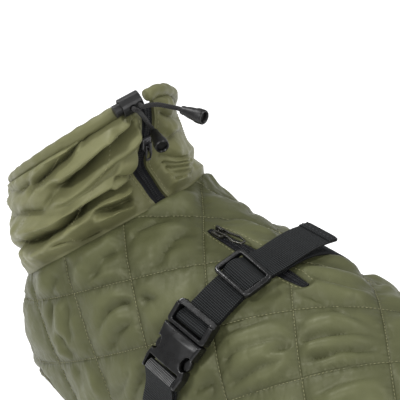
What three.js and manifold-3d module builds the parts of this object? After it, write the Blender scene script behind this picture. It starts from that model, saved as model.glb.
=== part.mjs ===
// Dog winter coat, quilted and worn, with its own girth strap. Millimetres, +Z up.
// The head end is towards -X and the left side towards -Y.
// The origin is on the spine under the girth strap, where the wearer's back carries the coat.
import * as THREE from 'three';
import { mergeVertices } from 'three/addons/utils/BufferGeometryUtils.js';
import Module from 'manifold-3d';

const wasm = await Module();
wasm.setup();

// Driving sizes
const GAP = 0.3;
const QUILT = { risingPitch: 66, risingAt: 54, fallingPitch: 74.5, fallingAt: 11.7, puff: 4.0 };
const SHELL = { seam: -1.5, inside: -3.2, grid: 11.5, slitGrid: 9, chestParts: 10 };
const COLLAR = {
  outside: 0.4, inside: -3.2, rows: 13, columns: 38, full: 2.2, lowest: -0.9, zipEase: 0.04,
  neckEase: 8,
};
const RIM = { radius: 4.2, lift: -1.4, sides: 8, dip: 11 };
const NECK = 77;
const FRONT_EDGE = { side: 132, centre: 124, corner: 115 };
const TAIL_EDGE = 549;
const SLIT = { from: 112, to: 224, endHalf: 2.0, midHalf: 6.2, closedHalf: 4.5 };
const TAPE = { outside: -1.5, inside: -2.7, grid: 10 };
const COLLAR_TAPE = { half: 5.2, from: 10, to: 76, grid: 5 };
const BINDING = { width: 6.8, thick: 4.6, lift: -1.9, sides: 6 };
const PIPING = { width: 3, thick: 2.6, lift: -1.9, sides: 4 };
const WEBBING = { width: 25, thick: 1.4, grid: 12 };
const HEM_GRID = { along: 13, rear: 6, rearFrom: 500 };
const GIRTH_LINE = { x: -2, leanLeft: 14.5, leanRight: 3, steps: 144, lastStation: 320, halvings: 30 };
const GIRTH_RUN = { from: 140, backGap: 20, onCoat: 3.5, onBelly: 1, leaves: 232, lands: 262 };
const SLIDE = {
  along: 22, lift: 5.6, length: 22.4, width: 33.6, thick: 3.8, barHalf: 2.2, barThick: 1.8,
  window: 13.2, endBar: 2.6, endSink: 0.9,
};
const BUCKLE = {
  along: 76, lift: 3.1, width: 33, thick: 9, joint: -8, front: -25, back: 23.5, window: 13,
};
const MALE = {
  low: 0.6, outerBar: 3.6, outerBarTop: 7, underBar: 2.3, rail: 3, bar: [-14.9, 2.9, 1.7],
};
const PRONG = {
  half: 9.5, low: 3.2, high: 5.8, tip: 9, armFrom: 4, armTo: 7.5, armIn: 8.5, armOut: 10.9,
};
const BUTTON = { along: 6, across: 13, halfLong: 4.2, halfWide: 2.5, low: 2.6, high: 6.4 };
const FEMALE = {
  low: 0.3, bevel: 1.2, pocket: 11.6, pocketEnd: 11, pocketLow: 2.6, pocketHigh: 6.4, window: 14,
  bar: [20.5, 4.4, 2],
};
const EYE = { along: 6, across: 13.1, halfLong: 4.9, halfWide: 3.2 };
const LOCK = {
  at: [-109.3, -17.7, 76.8], angle: 0.3, radius: 6.2, length: 14, button: 4.2, sunk: 1.2,
  proud: 4.5, well: 7, play: 0.4, bore: 1.9, holes: [-4.2, 0.6],
};
const CORD = { radius: 1.5, sides: 8 };
const BELL = { length: 17.5, neck: 2.6, mouth: 4.7 };

const ZIPS = {
  back: { station: 121, length: 21, wide: 8 },
  collar: { station: 35, length: 11.4, wide: 6.5 },
};

// Sections from collar rim to rear hem. The station is the distance along the flank.
// Each section is a tilted ellipse with its top on the spine and its low point on the chest or belly.
const SECTIONS = [
  { station: 0, topX: -114, topZ: 77, lowX: -226, lowZ: -28, half: 54 },
  { station: 25, topX: -112, topZ: 50, lowX: -222, lowZ: -50, half: 57 },
  { station: 52, topX: -113, topZ: 22, lowX: -214, lowZ: -74, half: 61 },
  { station: 77, topX: -99, topZ: 1, lowX: -203, lowZ: -96, half: 66 },
  { station: 92, topX: -82, topZ: -1, lowX: -206, lowZ: -124, half: 73 },
  { station: 110, topX: -60, topZ: -1, lowX: -204, lowZ: -154, half: 78 },
  { station: 138, topX: -32, topZ: 0, lowX: -183, lowZ: -186, half: 84 },
  { station: 185, topX: 0, topZ: 0, lowX: -110, lowZ: -206, half: 87 },
  { station: 270, topX: 60, topZ: 0, lowX: 20, lowZ: -208, half: 88 },
  { station: 362, topX: 140, topZ: -2, lowX: 135, lowZ: -196, half: 88 },
  { station: 454, topX: 230, topZ: -8, lowX: 230, lowZ: -178, half: 85 },
  { station: 524, topX: 300, topZ: -20, lowX: 300, lowZ: -160, half: 78 },
  { station: 549, topX: 322, topZ: -26, lowX: 328, lowZ: -150, half: 74 },
];

// Angle from spine to side hem, in degrees
const HEM = [
  { station: 132, angle: 115 },
  { station: 137, angle: 112.4 },
  { station: 146, angle: 111 },
  { station: 160, angle: 110.5 },
  { station: 200, angle: 112 },
  { station: 270, angle: 115 },
  { station: 362, angle: 114 },
  { station: 454, angle: 107 },
  { station: 500, angle: 96 },
  { station: 530, angle: 76 },
  { station: 549, angle: 42 },
];

// Rolls and troughs of the scrunched collar. Side 1 is the left and -1 the right.
// Drift is how far the fold moves down the collar for each radian round it.
const FOLDS = [
  { side: 1, station: 1, drift: 16.5, height: -4.5, spread: 4.5, from: 16, to: 112 },
  { side: 1, station: 12, drift: 21, height: -4.5, spread: 4.5, from: 10, to: 78 },
  { side: 1, station: 58, drift: -34, height: -3, spread: 3.5, from: 8, to: 34 },
  { side: 1, station: 52, drift: 8, height: -5, spread: 4.5, from: 8, to: 106 },
  { side: 1, station: 71, drift: -12, height: -3, spread: 3.5, from: 12, to: 50 },
  { side: 1, station: 30, drift: 14, height: 3.5, spread: 8, from: 8, to: 96 },
  { side: -1, station: 40, drift: 4, height: 8, spread: 13, from: 14, to: 86 },
  { side: -1, station: 45, drift: 20, height: -5, spread: 4, from: 4, to: 84 },
  { side: -1, station: 22, drift: 13, height: -3.5, spread: 4, from: 60, to: 150 },
  { side: -1, station: 68, drift: 4, height: 3, spread: 7, from: 8, to: 90 },
  { side: -1, station: 30, drift: 9, height: -4, spread: 4, from: 92, to: 172 },
  { side: 1, station: 16, drift: 9, height: -4, spread: 4.5, from: 104, to: 176 },
];

// Centre line of the collar zip, as a distance left of the spine
const COLLAR_ZIP = [
  { station: 0, left: 0.3 },
  { station: 17, left: 0.3 },
  { station: 34, left: 2.6 },
  { station: 49, left: 8.2 },
  { station: 64, left: 3.6 },
  { station: 77, left: 1.6 },
];

// Webbing about its bars. Along is the distance left of the spine and height is above the coat.
// The points on the slide and on the buckle are in that piece's own frame: down the strap, and up.
const FEMALE_END = [
  { buckle: 34, up: -5.6 },
  { buckle: 28, up: -2.2 },
  { buckle: 23.5, up: 0.9 },
  { buckle: 20.5, up: 1.3 },
  { buckle: 18.3, up: 2.3 },
  { buckle: 17.4, up: 4.4 },
  { buckle: 18.3, up: 6.6 },
  { buckle: 20.5, up: 7.5 },
  { buckle: 23.2, up: 6.6 },
  { buckle: 26.5, up: 3.2 },
  { buckle: 31, up: -0.9 },
  { buckle: 36, up: -4.4 },
  { along: 117, height: 4.6 },
  { along: 126, height: 3.5 },
];
const UNDER_SLIDE = [
  { along: -10, height: 3.5 },
  { along: 0, height: 3.5 },
  { along: 11, height: 3.5 },
  { along: 22, height: 3.5 },
  { along: 33, height: 3.5 },
  { along: 42, height: 3.5 },
  { along: 49, height: 3.5 },
];
const MALE_TURN = [
  { buckle: -24, up: -2.4 },
  { buckle: -19.6, up: -0.9 },
  { buckle: -15.2, up: -0.1 },
  { buckle: -13, up: 0.8 },
  { buckle: -12.2, up: 2.9 },
  { buckle: -13, up: 4.9 },
  { buckle: -14.9, up: 5.7 },
  { buckle: -17, up: 4.9 },
  { buckle: -20.2, up: 1.8 },
  { buckle: -23.4, up: -0.2 },
];
const OVER_SLIDE = [
  { along: 49, height: 5.3 },
  { along: 42, height: 5.3 },
  { slide: 11.2, up: -1.1 },
  { slide: 8.3, up: -0.7 },
  { slide: 5.2, up: 1.4 },
  { slide: 2.3, up: 2.8 },
  { slide: 0, up: 3.0 },
  { slide: -2.3, up: 2.8 },
  { slide: -5.2, up: 1.4 },
  { slide: -8.3, up: -0.7 },
  { slide: -11.2, up: -1.1 },
  { along: 0, height: 5.5 },
  { along: -8, height: 6.0 },
  { along: -18, height: 7.6 },
  { along: -28, height: 9.8 },
];
const TAIL_END = { from: -34.7, fromHeight: 11.2, to: -42, toHeight: 13, thick: 2.8 };

// Routes of the two free cord ends out of the lock, then where each bell starts and points
const CORDS = [
  {
    side: 'right',
    points: [[-102, -16, 78.6], [-98.7, -16.9, 79.1], [-94.9, -15.7, 81.1], [-89.9, -13, 82.6],
      [-84.9, -10.3, 82.6]],
    bell: [-75.5, -6.1, 82.1],
    toward: [0.99, 0.12, 0.06],
  },
  {
    side: 'left',
    points: [[-103.4, -20.4, 77.3], [-100.7, -21.3, 77.6], [-100.5, -19.3, 76.2], [-103.7, -14.1, 70.4],
      [-106.7, -8.7, 63.8], [-108.3, -4.9, 58.2], [-107.9, -2.9, 54.6]],
    bell: [-103.8, -3.3, 52.4],
    toward: [0.9, -0.44, -0.05],
  },
];

// Colours read off the photograph
const FINISH = {
  olive: new THREE.MeshStandardMaterial({ color: 0x6f6d4c, roughness: 0.6, metalness: 0 }),
  oliveDark: new THREE.MeshStandardMaterial({ color: 0x4f4f3b, roughness: 0.7, metalness: 0 }),
  webbing: new THREE.MeshStandardMaterial({ color: 0x26272b, roughness: 0.8, metalness: 0 }),
  tape: new THREE.MeshStandardMaterial({ color: 0x1f2025, roughness: 0.75, metalness: 0 }),
  plastic: new THREE.MeshStandardMaterial({ color: 0x2b2b2c, roughness: 0.4, metalness: 0 }),
  cord: new THREE.MeshStandardMaterial({ color: 0x2a2a2a, roughness: 0.85, metalness: 0 }),
  metal: new THREE.MeshStandardMaterial({ color: 0x8b8a84, roughness: 0.3, metalness: 0.9 }),
  piping: new THREE.MeshStandardMaterial({ color: 0xc9cccd, roughness: 0.4, metalness: 0 }),
};

const radians = THREE.MathUtils.degToRad;
const clamp = THREE.MathUtils.clamp;
const smooth = (value, low, high) => THREE.MathUtils.smoothstep(value, low, high);

// A column of a table at a station, by a cubic that never overshoots its rows
function slopeAt(table, key, name, row) {
  const step = (i) => table[i + 1][key] - table[i][key];
  const rise = (i) => (table[i + 1][name] - table[i][name]) / step(i);
  if (row === 0) return rise(0);
  if (row === table.length - 1) return rise(row - 1);
  if (rise(row - 1) * rise(row) <= 0) return 0;
  const before = 2 * step(row) + step(row - 1);
  const after = step(row) + 2 * step(row - 1);
  return (before + after) / (before / rise(row - 1) + after / rise(row));
}

function lookUp(table, key, name, value) {
  const last = table.length - 1;
  const inside = clamp(value, table[0][key], table[last][key]);
  let row = 0;
  while (row < last - 1 && table[row + 1][key] < inside) row += 1;
  const step = table[row + 1][key] - table[row][key];
  const t = (inside - table[row][key]) / step;
  const start = slopeAt(table, key, name, row) * step;
  const end = slopeAt(table, key, name, row + 1) * step;
  const a = table[row][name];
  const b = table[row + 1][name];
  return a * (1 - t) ** 2 * (1 + 2 * t) + start * t * (1 - t) ** 2
    + b * t * t * (3 - 2 * t) - end * t * t * (1 - t);
}

// The section at a station, kept once worked out
const sectionStore = new Map();
function sectionAt(station) {
  if (!sectionStore.has(station)) {
    const read = (name) => lookUp(SECTIONS, 'station', name, station);
    const [topX, topZ, lowX, lowZ] = ['topX', 'topZ', 'lowX', 'lowZ'].map(read);
    sectionStore.set(station, {
      middleX: (topX + lowX) / 2,
      middleZ: (topZ + lowZ) / 2,
      reachX: (topX - lowX) / 2,
      reachZ: (topZ - lowZ) / 2,
      half: read('half'),
    });
  }
  return sectionStore.get(station);
}

// A point of the coat's form. The angle is in radians from the spine, left positive.
function formPoint(station, angle) {
  const ring = sectionAt(station);
  const up = Math.cos(angle);
  return new THREE.Vector3(
    ring.middleX + ring.reachX * up,
    -ring.half * Math.sin(angle),
    ring.middleZ + ring.reachZ * up,
  );
}

function formNormal(station, angle) {
  const round = formPoint(station, angle + 0.01).sub(formPoint(station, angle - 0.01));
  const before = Math.max(station - 1, 0);
  const after = Math.min(station + 1, TAIL_EDGE);
  const along = formPoint(after, angle).sub(formPoint(before, angle));
  return round.cross(along).normalize();
}

function formAt(station, angle, lift) {
  return formPoint(station, angle).addScaledVector(formNormal(station, angle), lift);
}

// How many stations it takes at a place to clear a section by a distance
function stationsFor(station, angle, distance) {
  const round = formPoint(station, angle + 0.01).sub(formPoint(station, angle - 0.01)).normalize();
  const along = formPoint(station + 1, angle).sub(formPoint(station, angle));
  return distance / along.cross(round).length();
}

// Distance round a section from the spine, left positive
function arcTo(station, angle) {
  const parts = 24;
  let length = 0;
  let last = formPoint(station, 0);
  for (let i = 1; i <= parts; i += 1) {
    const next = formPoint(station, (angle * i) / parts);
    length += next.distanceTo(last);
    last = next;
  }
  return Math.sign(angle) * length;
}

// Height of the quilting: flat along two families of slanting seams, full between them
function quiltPuff(station, angle) {
  const x = formPoint(station, angle).x;
  const arc = arcTo(station, angle);
  const rising = Math.abs(Math.sin((Math.PI * (x + arc - QUILT.risingAt)) / QUILT.risingPitch));
  const falling = Math.abs(Math.sin((Math.PI * (x - arc - QUILT.fallingAt)) / QUILT.fallingPitch));
  return QUILT.puff * (rising * falling) ** 0.6;
}

// A closed wall over four-sided cells, each cell anticlockwise seen from outside
function wallGeometry(outer, inner, cells) {
  const count = outer.length;
  const index = [];
  const edges = new Map();
  for (const [a, b, c, d] of cells) {
    index.push(a, b, c, a, c, d);
    index.push(count + a, count + c, count + b, count + a, count + d, count + c);
    for (const [from, to] of [[a, b], [b, c], [c, d], [d, a]]) {
      const back = `${to},${from}`;
      if (edges.has(back)) edges.delete(back);
      else edges.set(`${from},${to}`, [from, to]);
    }
  }
  for (const [from, to] of edges.values()) {
    index.push(from, count + from, count + to, from, count + to, to);
  }
  const flat = [...outer, ...inner].flatMap((p) => [p.x, p.y, p.z]);
  const geometry = new THREE.BufferGeometry();
  geometry.setAttribute('position', new THREE.Float32BufferAttribute(flat, 3));
  geometry.setIndex(index);
  return geometry;
}

// A section swept along frames, each with an origin and two directions, open or closed on itself
function sweepGeometry(frames, sectionOf, closed) {
  const flat = [];
  const index = [];
  const sides = sectionOf(0).length;
  frames.forEach((frame, i) => {
    for (const [across, out] of sectionOf(i)) {
      const p = frame.origin.clone().addScaledVector(frame.across, across).addScaledVector(frame.out, out);
      flat.push(p.x, p.y, p.z);
    }
  });
  const spans = closed ? frames.length : frames.length - 1;
  for (let i = 0; i < spans; i += 1) {
    const here = i * sides;
    const next = ((i + 1) % frames.length) * sides;
    for (let k = 0; k < sides; k += 1) {
      const l = (k + 1) % sides;
      index.push(here + k, next + l, here + l, here + k, next + k, next + l);
    }
  }
  if (!closed) {
    const end = (frames.length - 1) * sides;
    for (let k = 1; k < sides - 1; k += 1) {
      index.push(0, k, k + 1);
      index.push(end, end + k + 1, end + k);
    }
  }
  const geometry = new THREE.BufferGeometry();
  geometry.setAttribute('position', new THREE.Float32BufferAttribute(flat, 3));
  geometry.setIndex(index);
  return geometry;
}

// Joining and cutting of solids
function solidOf(geometry) {
  const bare = geometry.clone();
  bare.deleteAttribute('normal');
  bare.deleteAttribute('uv');
  const merged = mergeVertices(bare, 1e-4);
  const vertProperties = new Float32Array(merged.attributes.position.array);
  const triVerts = new Uint32Array(merged.index.array);
  return new wasm.Manifold(new wasm.Mesh({ numProp: 3, vertProperties, triVerts }));
}

function geometryOf(solid) {
  const mesh = solid.getMesh();
  const geometry = new THREE.BufferGeometry();
  geometry.setAttribute('position', new THREE.Float32BufferAttribute(mesh.vertProperties, 3));
  geometry.setIndex(Array.from(mesh.triVerts));
  return geometry;
}

// A box between two corners
function boxBetween(low, high) {
  const size = high.map((value, i) => value - low[i]);
  const geometry = new THREE.BoxGeometry(...size);
  geometry.translate(...low.map((value, i) => value + size[i] / 2));
  return geometry;
}

// A flat plate of a given outline in the along and across plane, from one height to another
function plateBetween(outline, from, to, bevel) {
  const shape = new THREE.Shape(outline.map(([x, y]) => new THREE.Vector2(x, y)));
  const geometry = new THREE.ExtrudeGeometry(shape, {
    depth: to - from - 2 * bevel,
    bevelEnabled: bevel > 0,
    bevelThickness: bevel,
    bevelSize: bevel,
    bevelOffset: -bevel,
    bevelSegments: 1,
  });
  geometry.translate(0, 0, from + bevel);
  return geometry;
}

// A rectangle with round corners, as an outline
function roundedOutline(x0, x1, y0, y1, radius, steps) {
  const corners = [[x1 - radius, y1 - radius, 0], [x0 + radius, y1 - radius, 90],
    [x0 + radius, y0 + radius, 180], [x1 - radius, y0 + radius, 270]];
  return corners.flatMap(([x, y, start]) => Array.from({ length: steps + 1 }, (_, i) => {
    const turn = radians(start + (90 * i) / steps);
    return [x + radius * Math.cos(turn), y + radius * Math.sin(turn)];
  }));
}

function circleOutline(x, y, radiusX, radiusY, sides) {
  return Array.from({ length: sides }, (_, i) => {
    const turn = (2 * Math.PI * (i + 0.5)) / sides;
    return [x + radiusX * Math.cos(turn), y + radiusY * Math.sin(turn)];
  });
}

// A bar across, between two sides
function crossBar(along, height, radius, halfLength, sides) {
  const bar = new THREE.CylinderGeometry(radius, radius, 2 * halfLength, sides);
  bar.translate(along, 0, height);
  return bar;
}

const coat = new THREE.Group();

function addMesh(name, geometry, material, matrix) {
  const mesh = new THREE.Mesh(geometry, material);
  mesh.name = name;
  if (matrix) mesh.applyMatrix4(matrix);
  coat.add(mesh);
}

// Shell: rings round the chest, then an open saddle behind the front edge
function hemAngle(station) {
  return radians(lookUp(HEM, 'station', 'angle', station));
}

function slitHalf(station) {
  if (station < SLIT.from || station > SLIT.to) return SLIT.closedHalf;
  const t = (station - SLIT.from) / (SLIT.to - SLIT.from);
  return SLIT.endHalf + (SLIT.midHalf - SLIT.endHalf) * Math.sin(Math.PI * t);
}

function spread(from, to, size) {
  const parts = Math.max(1, Math.round((to - from) / size));
  return Array.from({ length: parts }, (_, i) => from + ((to - from) * i) / parts);
}

function saddleAngles(station, half) {
  const slit = slitHalf(station) / sectionAt(station).half;
  const hem = hemAngle(Math.max(station, FRONT_EDGE.side));
  const left = Array.from({ length: half + 1 }, (_, i) => slit + ((hem - slit) * i) / half);
  return [...left.map((angle) => -angle).reverse(), ...left];
}

function frontEdge(angle) {
  const past = (Math.abs(angle) - radians(FRONT_EDGE.corner)) / (Math.PI - radians(FRONT_EDGE.corner));
  return FRONT_EDGE.centre + (FRONT_EDGE.side - FRONT_EDGE.centre) * (1 - clamp(past, 0, 1)) ** 2;
}

function makeShell() {
  const outer = [];
  const inner = [];
  const places = [];
  const cells = [];
  const half = Math.round(arcTo(FRONT_EDGE.side, radians(FRONT_EDGE.corner)) / SHELL.grid);
  const place = (station, angle) => {
    places.push([station, angle]);
    return places.length - 1;
  };
  const inSlit = (a, b) => a >= SLIT.from - 0.5 && b <= SLIT.to + 0.5;

  // Rings round neck and chest, closed under the chest
  const ringStations = [...spread(NECK, SLIT.from, SHELL.grid),
    ...spread(SLIT.from, FRONT_EDGE.side, SHELL.slitGrid), FRONT_EDGE.side];
  const corner = radians(FRONT_EDGE.corner);
  const chest = Array.from({ length: SHELL.chestParts }, (_, i) => (
    corner + ((Math.PI - corner) * (i + 1)) / SHELL.chestParts));
  const rings = ringStations.map((station) => {
    const along = (station - NECK) / (FRONT_EDGE.side - NECK);
    const stationAt = (angle) => NECK + (frontEdge(angle) - NECK) * along;
    const saddle = saddleAngles(station, half).map((angle) => place(station, angle));
    const left = chest.map((angle) => place(stationAt(angle), angle));
    const right = chest.slice(0, -1).map((angle) => place(stationAt(-angle), -angle));
    return [...saddle, ...left, ...right.reverse()];
  });
  for (let i = 0; i < rings.length - 1; i += 1) {
    const count = rings[i].length;
    for (let j = 0; j < count; j += 1) {
      const k = (j + 1) % count;
      const middle = j === half;
      if (!(middle && inSlit(ringStations[i], ringStations[i + 1]))) {
        cells.push([rings[i][j], rings[i][k], rings[i + 1][k], rings[i + 1][j]]);
      }
    }
  }

  // Saddle over back and flanks
  const stations = [...spread(FRONT_EDGE.side, SLIT.to, SHELL.grid),
    ...spread(SLIT.to, TAIL_EDGE, SHELL.grid), TAIL_EDGE];
  let last = rings[rings.length - 1].slice(0, 2 * half + 2);
  for (let i = 1; i < stations.length; i += 1) {
    const next = saddleAngles(stations[i], half).map((angle) => place(stations[i], angle));
    for (let j = 0; j < next.length - 1; j += 1) {
      if (!(j === half && inSlit(stations[i - 1], stations[i]))) {
        cells.push([last[j], last[j + 1], next[j + 1], next[j]]);
      }
    }
    last = next;
  }

  // The wall is thin along its edges and puffed between the quilt seams
  const uses = new Map();
  for (const cell of cells) {
    cell.forEach((a) => uses.set(a, (uses.get(a) ?? 0) + 1));
  }
  places.forEach(([station, angle], i) => {
    const puff = uses.get(i) === 4 ? quiltPuff(station, angle) : 0;
    outer.push(formAt(station, angle, SHELL.seam + puff));
    inner.push(formAt(station, angle, SHELL.inside));
  });
  addMesh('coat_body', wallGeometry(outer, inner, cells), FINISH.olive);
}

// Collar: a scrunched tube, open at centre back for its zip
function rimStation(angle) {
  const turn = Math.atan2(Math.sin(angle), Math.cos(angle));
  return turn < 0 ? RIM.dip * Math.sin(turn) ** 2 : 0;
}

function collarFolds(station, angle) {
  const turn = Math.atan2(Math.sin(angle), Math.cos(angle));
  const degrees = THREE.MathUtils.radToDeg(Math.abs(turn));
  return FOLDS.filter((fold) => fold.side * turn > 0).reduce((sum, fold) => {
    const centre = fold.station + fold.drift * Math.abs(turn);
    const reach = smooth(degrees, fold.from, fold.from + 8) * (1 - smooth(degrees, fold.to - 12, fold.to));
    return sum + fold.height * reach * Math.exp(-(((station - centre) / fold.spread) ** 2));
  }, 0);
}

function zipAngle(station, offset) {
  const left = lookUp(COLLAR_ZIP, 'station', 'left', station);
  return (left + offset) / sectionAt(station).half;
}

function makeCollar() {
  const outer = [];
  const inner = [];
  const cells = [];
  const { rows, columns } = COLLAR;
  const edge = COLLAR_TAPE.half + GAP;
  for (let i = 0; i <= rows; i += 1) {
    for (let j = 0; j <= columns; j += 1) {
      const part = j / columns;
      const level = (station) => {
        const from = zipAngle(station, edge);
        const to = 2 * Math.PI + zipAngle(station, -edge);
        return from + (to - from) * part;
      };
      const top = rimStation(level(0)) + stationsFor(RIM.radius, level(0), 2 * RIM.radius + 2 * GAP);
      const station = top + (NECK - 2 * GAP - top) * (i / rows);
      const angle = level(station);
      const atZip = smooth(part, 0, COLLAR.zipEase) * (1 - smooth(part, 1 - COLLAR.zipEase, 1));
      const open = atZip * smooth(NECK - station, 0, COLLAR.neckEase);
      const lift = COLLAR.outside + (collarFolds(station, angle) + COLLAR.full) * open;
      outer.push(formAt(station, angle, Math.max(lift, COLLAR.lowest)));
      inner.push(formAt(station, angle, COLLAR.inside));
      if (i < rows && j < columns) {
        const a = i * (columns + 1) + j;
        cells.push([a, a + 1, a + columns + 2, a + columns + 1]);
      }
    }
  }
  addMesh('collar', wallGeometry(outer, inner, cells), FINISH.olive);

  // The rolled rim is the tunnel of the draw cord
  const steps = COLLAR.columns;
  const frames = Array.from({ length: steps + 1 }, (_, j) => {
    const from = zipAngle(RIM.radius, edge);
    const to = 2 * Math.PI + zipAngle(RIM.radius, -edge);
    const angle = from + ((to - from) * j) / steps;
    const station = rimStation(angle) + stationsFor(RIM.radius, angle, RIM.radius);
    const out = formNormal(station, angle);
    const before = formPoint(station, angle - 0.02);
    const tangent = formPoint(station, angle + 0.02).sub(before).normalize();
    const across = tangent.clone().cross(out).normalize();
    return { origin: formAt(station, angle, RIM.lift), across, out };
  });
  const section = circleOutline(0, 0, RIM.radius, RIM.radius, RIM.sides);
  addMesh('collar_rim', sweepGeometry(frames, () => section, false), FINISH.olive);
}

// Zip tapes, each a strip that fills its slit
function makeTape(name, stations, angleOf, lifts) {
  const outer = [];
  const inner = [];
  const cells = [];
  stations.forEach((station, i) => {
    [-1, 0, 1].forEach((side, j) => {
      const angle = angleOf(station, side);
      outer.push(formAt(station, angle, lifts.outside));
      inner.push(formAt(station, angle, lifts.inside));
      if (i > 0 && j > 0) {
        const a = (i - 1) * 3 + j - 1;
        cells.push([a, a + 1, a + 4, a + 3]);
      }
    });
  });
  addMesh(name, wallGeometry(outer, inner, cells), FINISH.tape);
}

function makeTapes() {
  const rows = [...spread(SLIT.from + GAP, FRONT_EDGE.side, SHELL.slitGrid),
    ...spread(FRONT_EDGE.side, SLIT.to - GAP, TAPE.grid), SLIT.to - GAP];
  makeTape('back_zip_tape', rows, (station, side) => (
    (side * (slitHalf(station) - 2 * GAP)) / sectionAt(station).half), TAPE);
  const collarRows = [...spread(COLLAR_TAPE.from, COLLAR_TAPE.to, COLLAR_TAPE.grid), COLLAR_TAPE.to];
  makeTape('collar_zip_tape', collarRows, (station, side) => (
    zipAngle(station, side * COLLAR_TAPE.half)), TAPE);
}

// A frame on the form: along the coat, to the right of it, and out
function frameOn(station, angle, lift) {
  const out = formNormal(station, angle);
  const along = formPoint(station + 1, angle).sub(formPoint(station - 1, angle));
  const side = out.clone().cross(along).normalize();
  along.copy(side).cross(out);
  const matrix = new THREE.Matrix4().makeBasis(along, side, out);
  return matrix.setPosition(formPoint(station, angle).addScaledVector(out, lift));
}

// Zip slider with a bridge for its pull, seen along its tape
const SLIDER = {
  length: 9.5, width: 7, height: 3, bridge: 6.4, bridgeWide: 1.8, bridgeHigh: 3.4, bar: 0.9,
};

function sliderGeometry() {
  const { length, width, height, bridge, bridgeWide, bridgeHigh, bar } = SLIDER;
  const nose = [[-length / 2, -width / 2], [length / 2 - 2, -width / 2], [length / 2, -width / 4],
    [length / 2, width / 4], [length / 2 - 2, width / 2], [-length / 2, width / 2]];
  const body = solidOf(plateBetween(nose, 0, height, 0.6));
  const low = [-bridge / 2, -bridgeWide / 2, height - 0.5];
  const high = [bridge / 2, bridgeWide / 2, height + bridgeHigh];
  const hole = boxBetween([low[0] + bar, -width, height], [high[0] - bar, width, high[2] - bar]);
  return geometryOf(body.add(solidOf(boxBetween(low, high)).subtract(solidOf(hole))));
}

// Wire pull: a long six-sided loop whose narrow end passes under the bridge
const PULL = { wire: 1.3, narrow: 5, shoulder: 7, lift: SLIDER.height + 1.15 };

function pullGeometry(length, wide) {
  const { wire, narrow, shoulder } = PULL;
  const outline = (inset) => [[-wire / 2 + inset, -narrow / 2 + inset], [shoulder, -narrow / 2 + inset],
    [length - shoulder, -wide / 2 + inset], [length - inset, -wide / 4], [length - inset, wide / 4],
    [length - shoulder, wide / 2 - inset], [shoulder, narrow / 2 - inset],
    [-wire / 2 + inset, narrow / 2 - inset]];
  const plate = solidOf(plateBetween(outline(0), -wire / 2, wire / 2, 0.25));
  const hole = solidOf(plateBetween(outline(wire), -wire, wire, 0));
  return geometryOf(plate.subtract(hole));
}

function makeZipHardware(name, { station, length, wide }, angle, finish) {
  const place = frameOn(station, angle, TAPE.outside + GAP);
  addMesh(`${name}_slider`, sliderGeometry(), finish, place);
  const raised = place.clone().multiply(new THREE.Matrix4().makeTranslation(0, 0, PULL.lift));
  addMesh(`${name}_pull`, pullGeometry(length, wide), finish, raised);
}

// The whole lower edge, from under the chest along the left side, round the rear and back
function hemPath() {
  const corner = radians(FRONT_EDGE.corner);
  const rearTurn = hemAngle(TAIL_EDGE);
  const round = (station) => HEM_GRID.along / sectionAt(station).half;
  const front = spread(0, Math.PI - corner, round(FRONT_EDGE.side)).map((turn) => Math.PI - turn);
  const sideStations = [...spread(FRONT_EDGE.side, HEM_GRID.rearFrom, HEM_GRID.along),
    ...spread(HEM_GRID.rearFrom, TAIL_EDGE, HEM_GRID.rear)];
  const rear = spread(0, 2 * rearTurn, round(TAIL_EDGE)).map((turn) => rearTurn - turn);
  return [
    ...front.map((angle) => [frontEdge(angle), angle]),
    ...sideStations.map((station) => [station, hemAngle(station)]),
    ...rear.map((angle) => [TAIL_EDGE, angle]),
    [TAIL_EDGE, -rearTurn],
    ...sideStations.slice(1).reverse().map((station) => [station, -hemAngle(station)]),
    [FRONT_EDGE.side, -corner],
    ...front.slice(1).reverse().map((angle) => [frontEdge(angle), -angle]),
  ];
}

function edgeStrip(path, beyond, lift) {
  const at = ([station, angle]) => formAt(station, angle, lift);
  return path.map((place, i) => {
    const origin = at(place);
    const before = at(path[(i + path.length - 1) % path.length]);
    const after = at(path[(i + 1) % path.length]);
    const tangent = after.sub(before).normalize();
    const out = formNormal(...place);
    const across = tangent.clone().cross(out).normalize();
    origin.addScaledVector(across, beyond);
    return { origin, across, out: across.clone().cross(tangent).normalize() };
  });
}

function makeHem() {
  const path = hemPath();
  const bindingReach = (BINDING.width / 2) * Math.cos(Math.PI / BINDING.sides);
  const bindingFrames = edgeStrip(path, GAP + bindingReach, BINDING.lift);
  const binding = circleOutline(0, 0, BINDING.width / 2, BINDING.thick / 2, BINDING.sides);
  addMesh('hem_binding', sweepGeometry(bindingFrames, () => binding, true), FINISH.oliveDark);
  const pipingReach = (PIPING.width / 2) * Math.cos(Math.PI / PIPING.sides);
  const pipingFrames = edgeStrip(path, 2 * GAP + 2 * bindingReach + pipingReach, PIPING.lift);
  const piping = circleOutline(0, 0, PIPING.width / 2, PIPING.thick / 2, PIPING.sides);
  addMesh('hem_piping', sweepGeometry(pipingFrames, () => piping, true), FINISH.piping);
}

// The line of the girth strap round the trunk, leaning towards the head on the left side
function strapLine() {
  const { steps } = GIRTH_LINE;
  const line = [];
  let length = 0;
  for (let i = 0; i <= steps; i += 1) {
    const angle = (2 * Math.PI * i) / steps;
    const lean = Math.sin(angle) > 0 ? GIRTH_LINE.leanLeft : GIRTH_LINE.leanRight;
    const x = GIRTH_LINE.x - lean * Math.abs(Math.sin(angle));
    let low = SLIT.from;
    let high = GIRTH_LINE.lastStation;
    for (let k = 0; k < GIRTH_LINE.halvings; k += 1) {
      const middle = (low + high) / 2;
      if (formPoint(middle, angle).x < x) low = middle;
      else high = middle;
    }
    const point = formPoint(low, angle);
    if (i > 0) length += point.distanceTo(line[i - 1].point);
    line.push({ point, normal: formNormal(low, angle), length });
  }
  return line;
}

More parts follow.
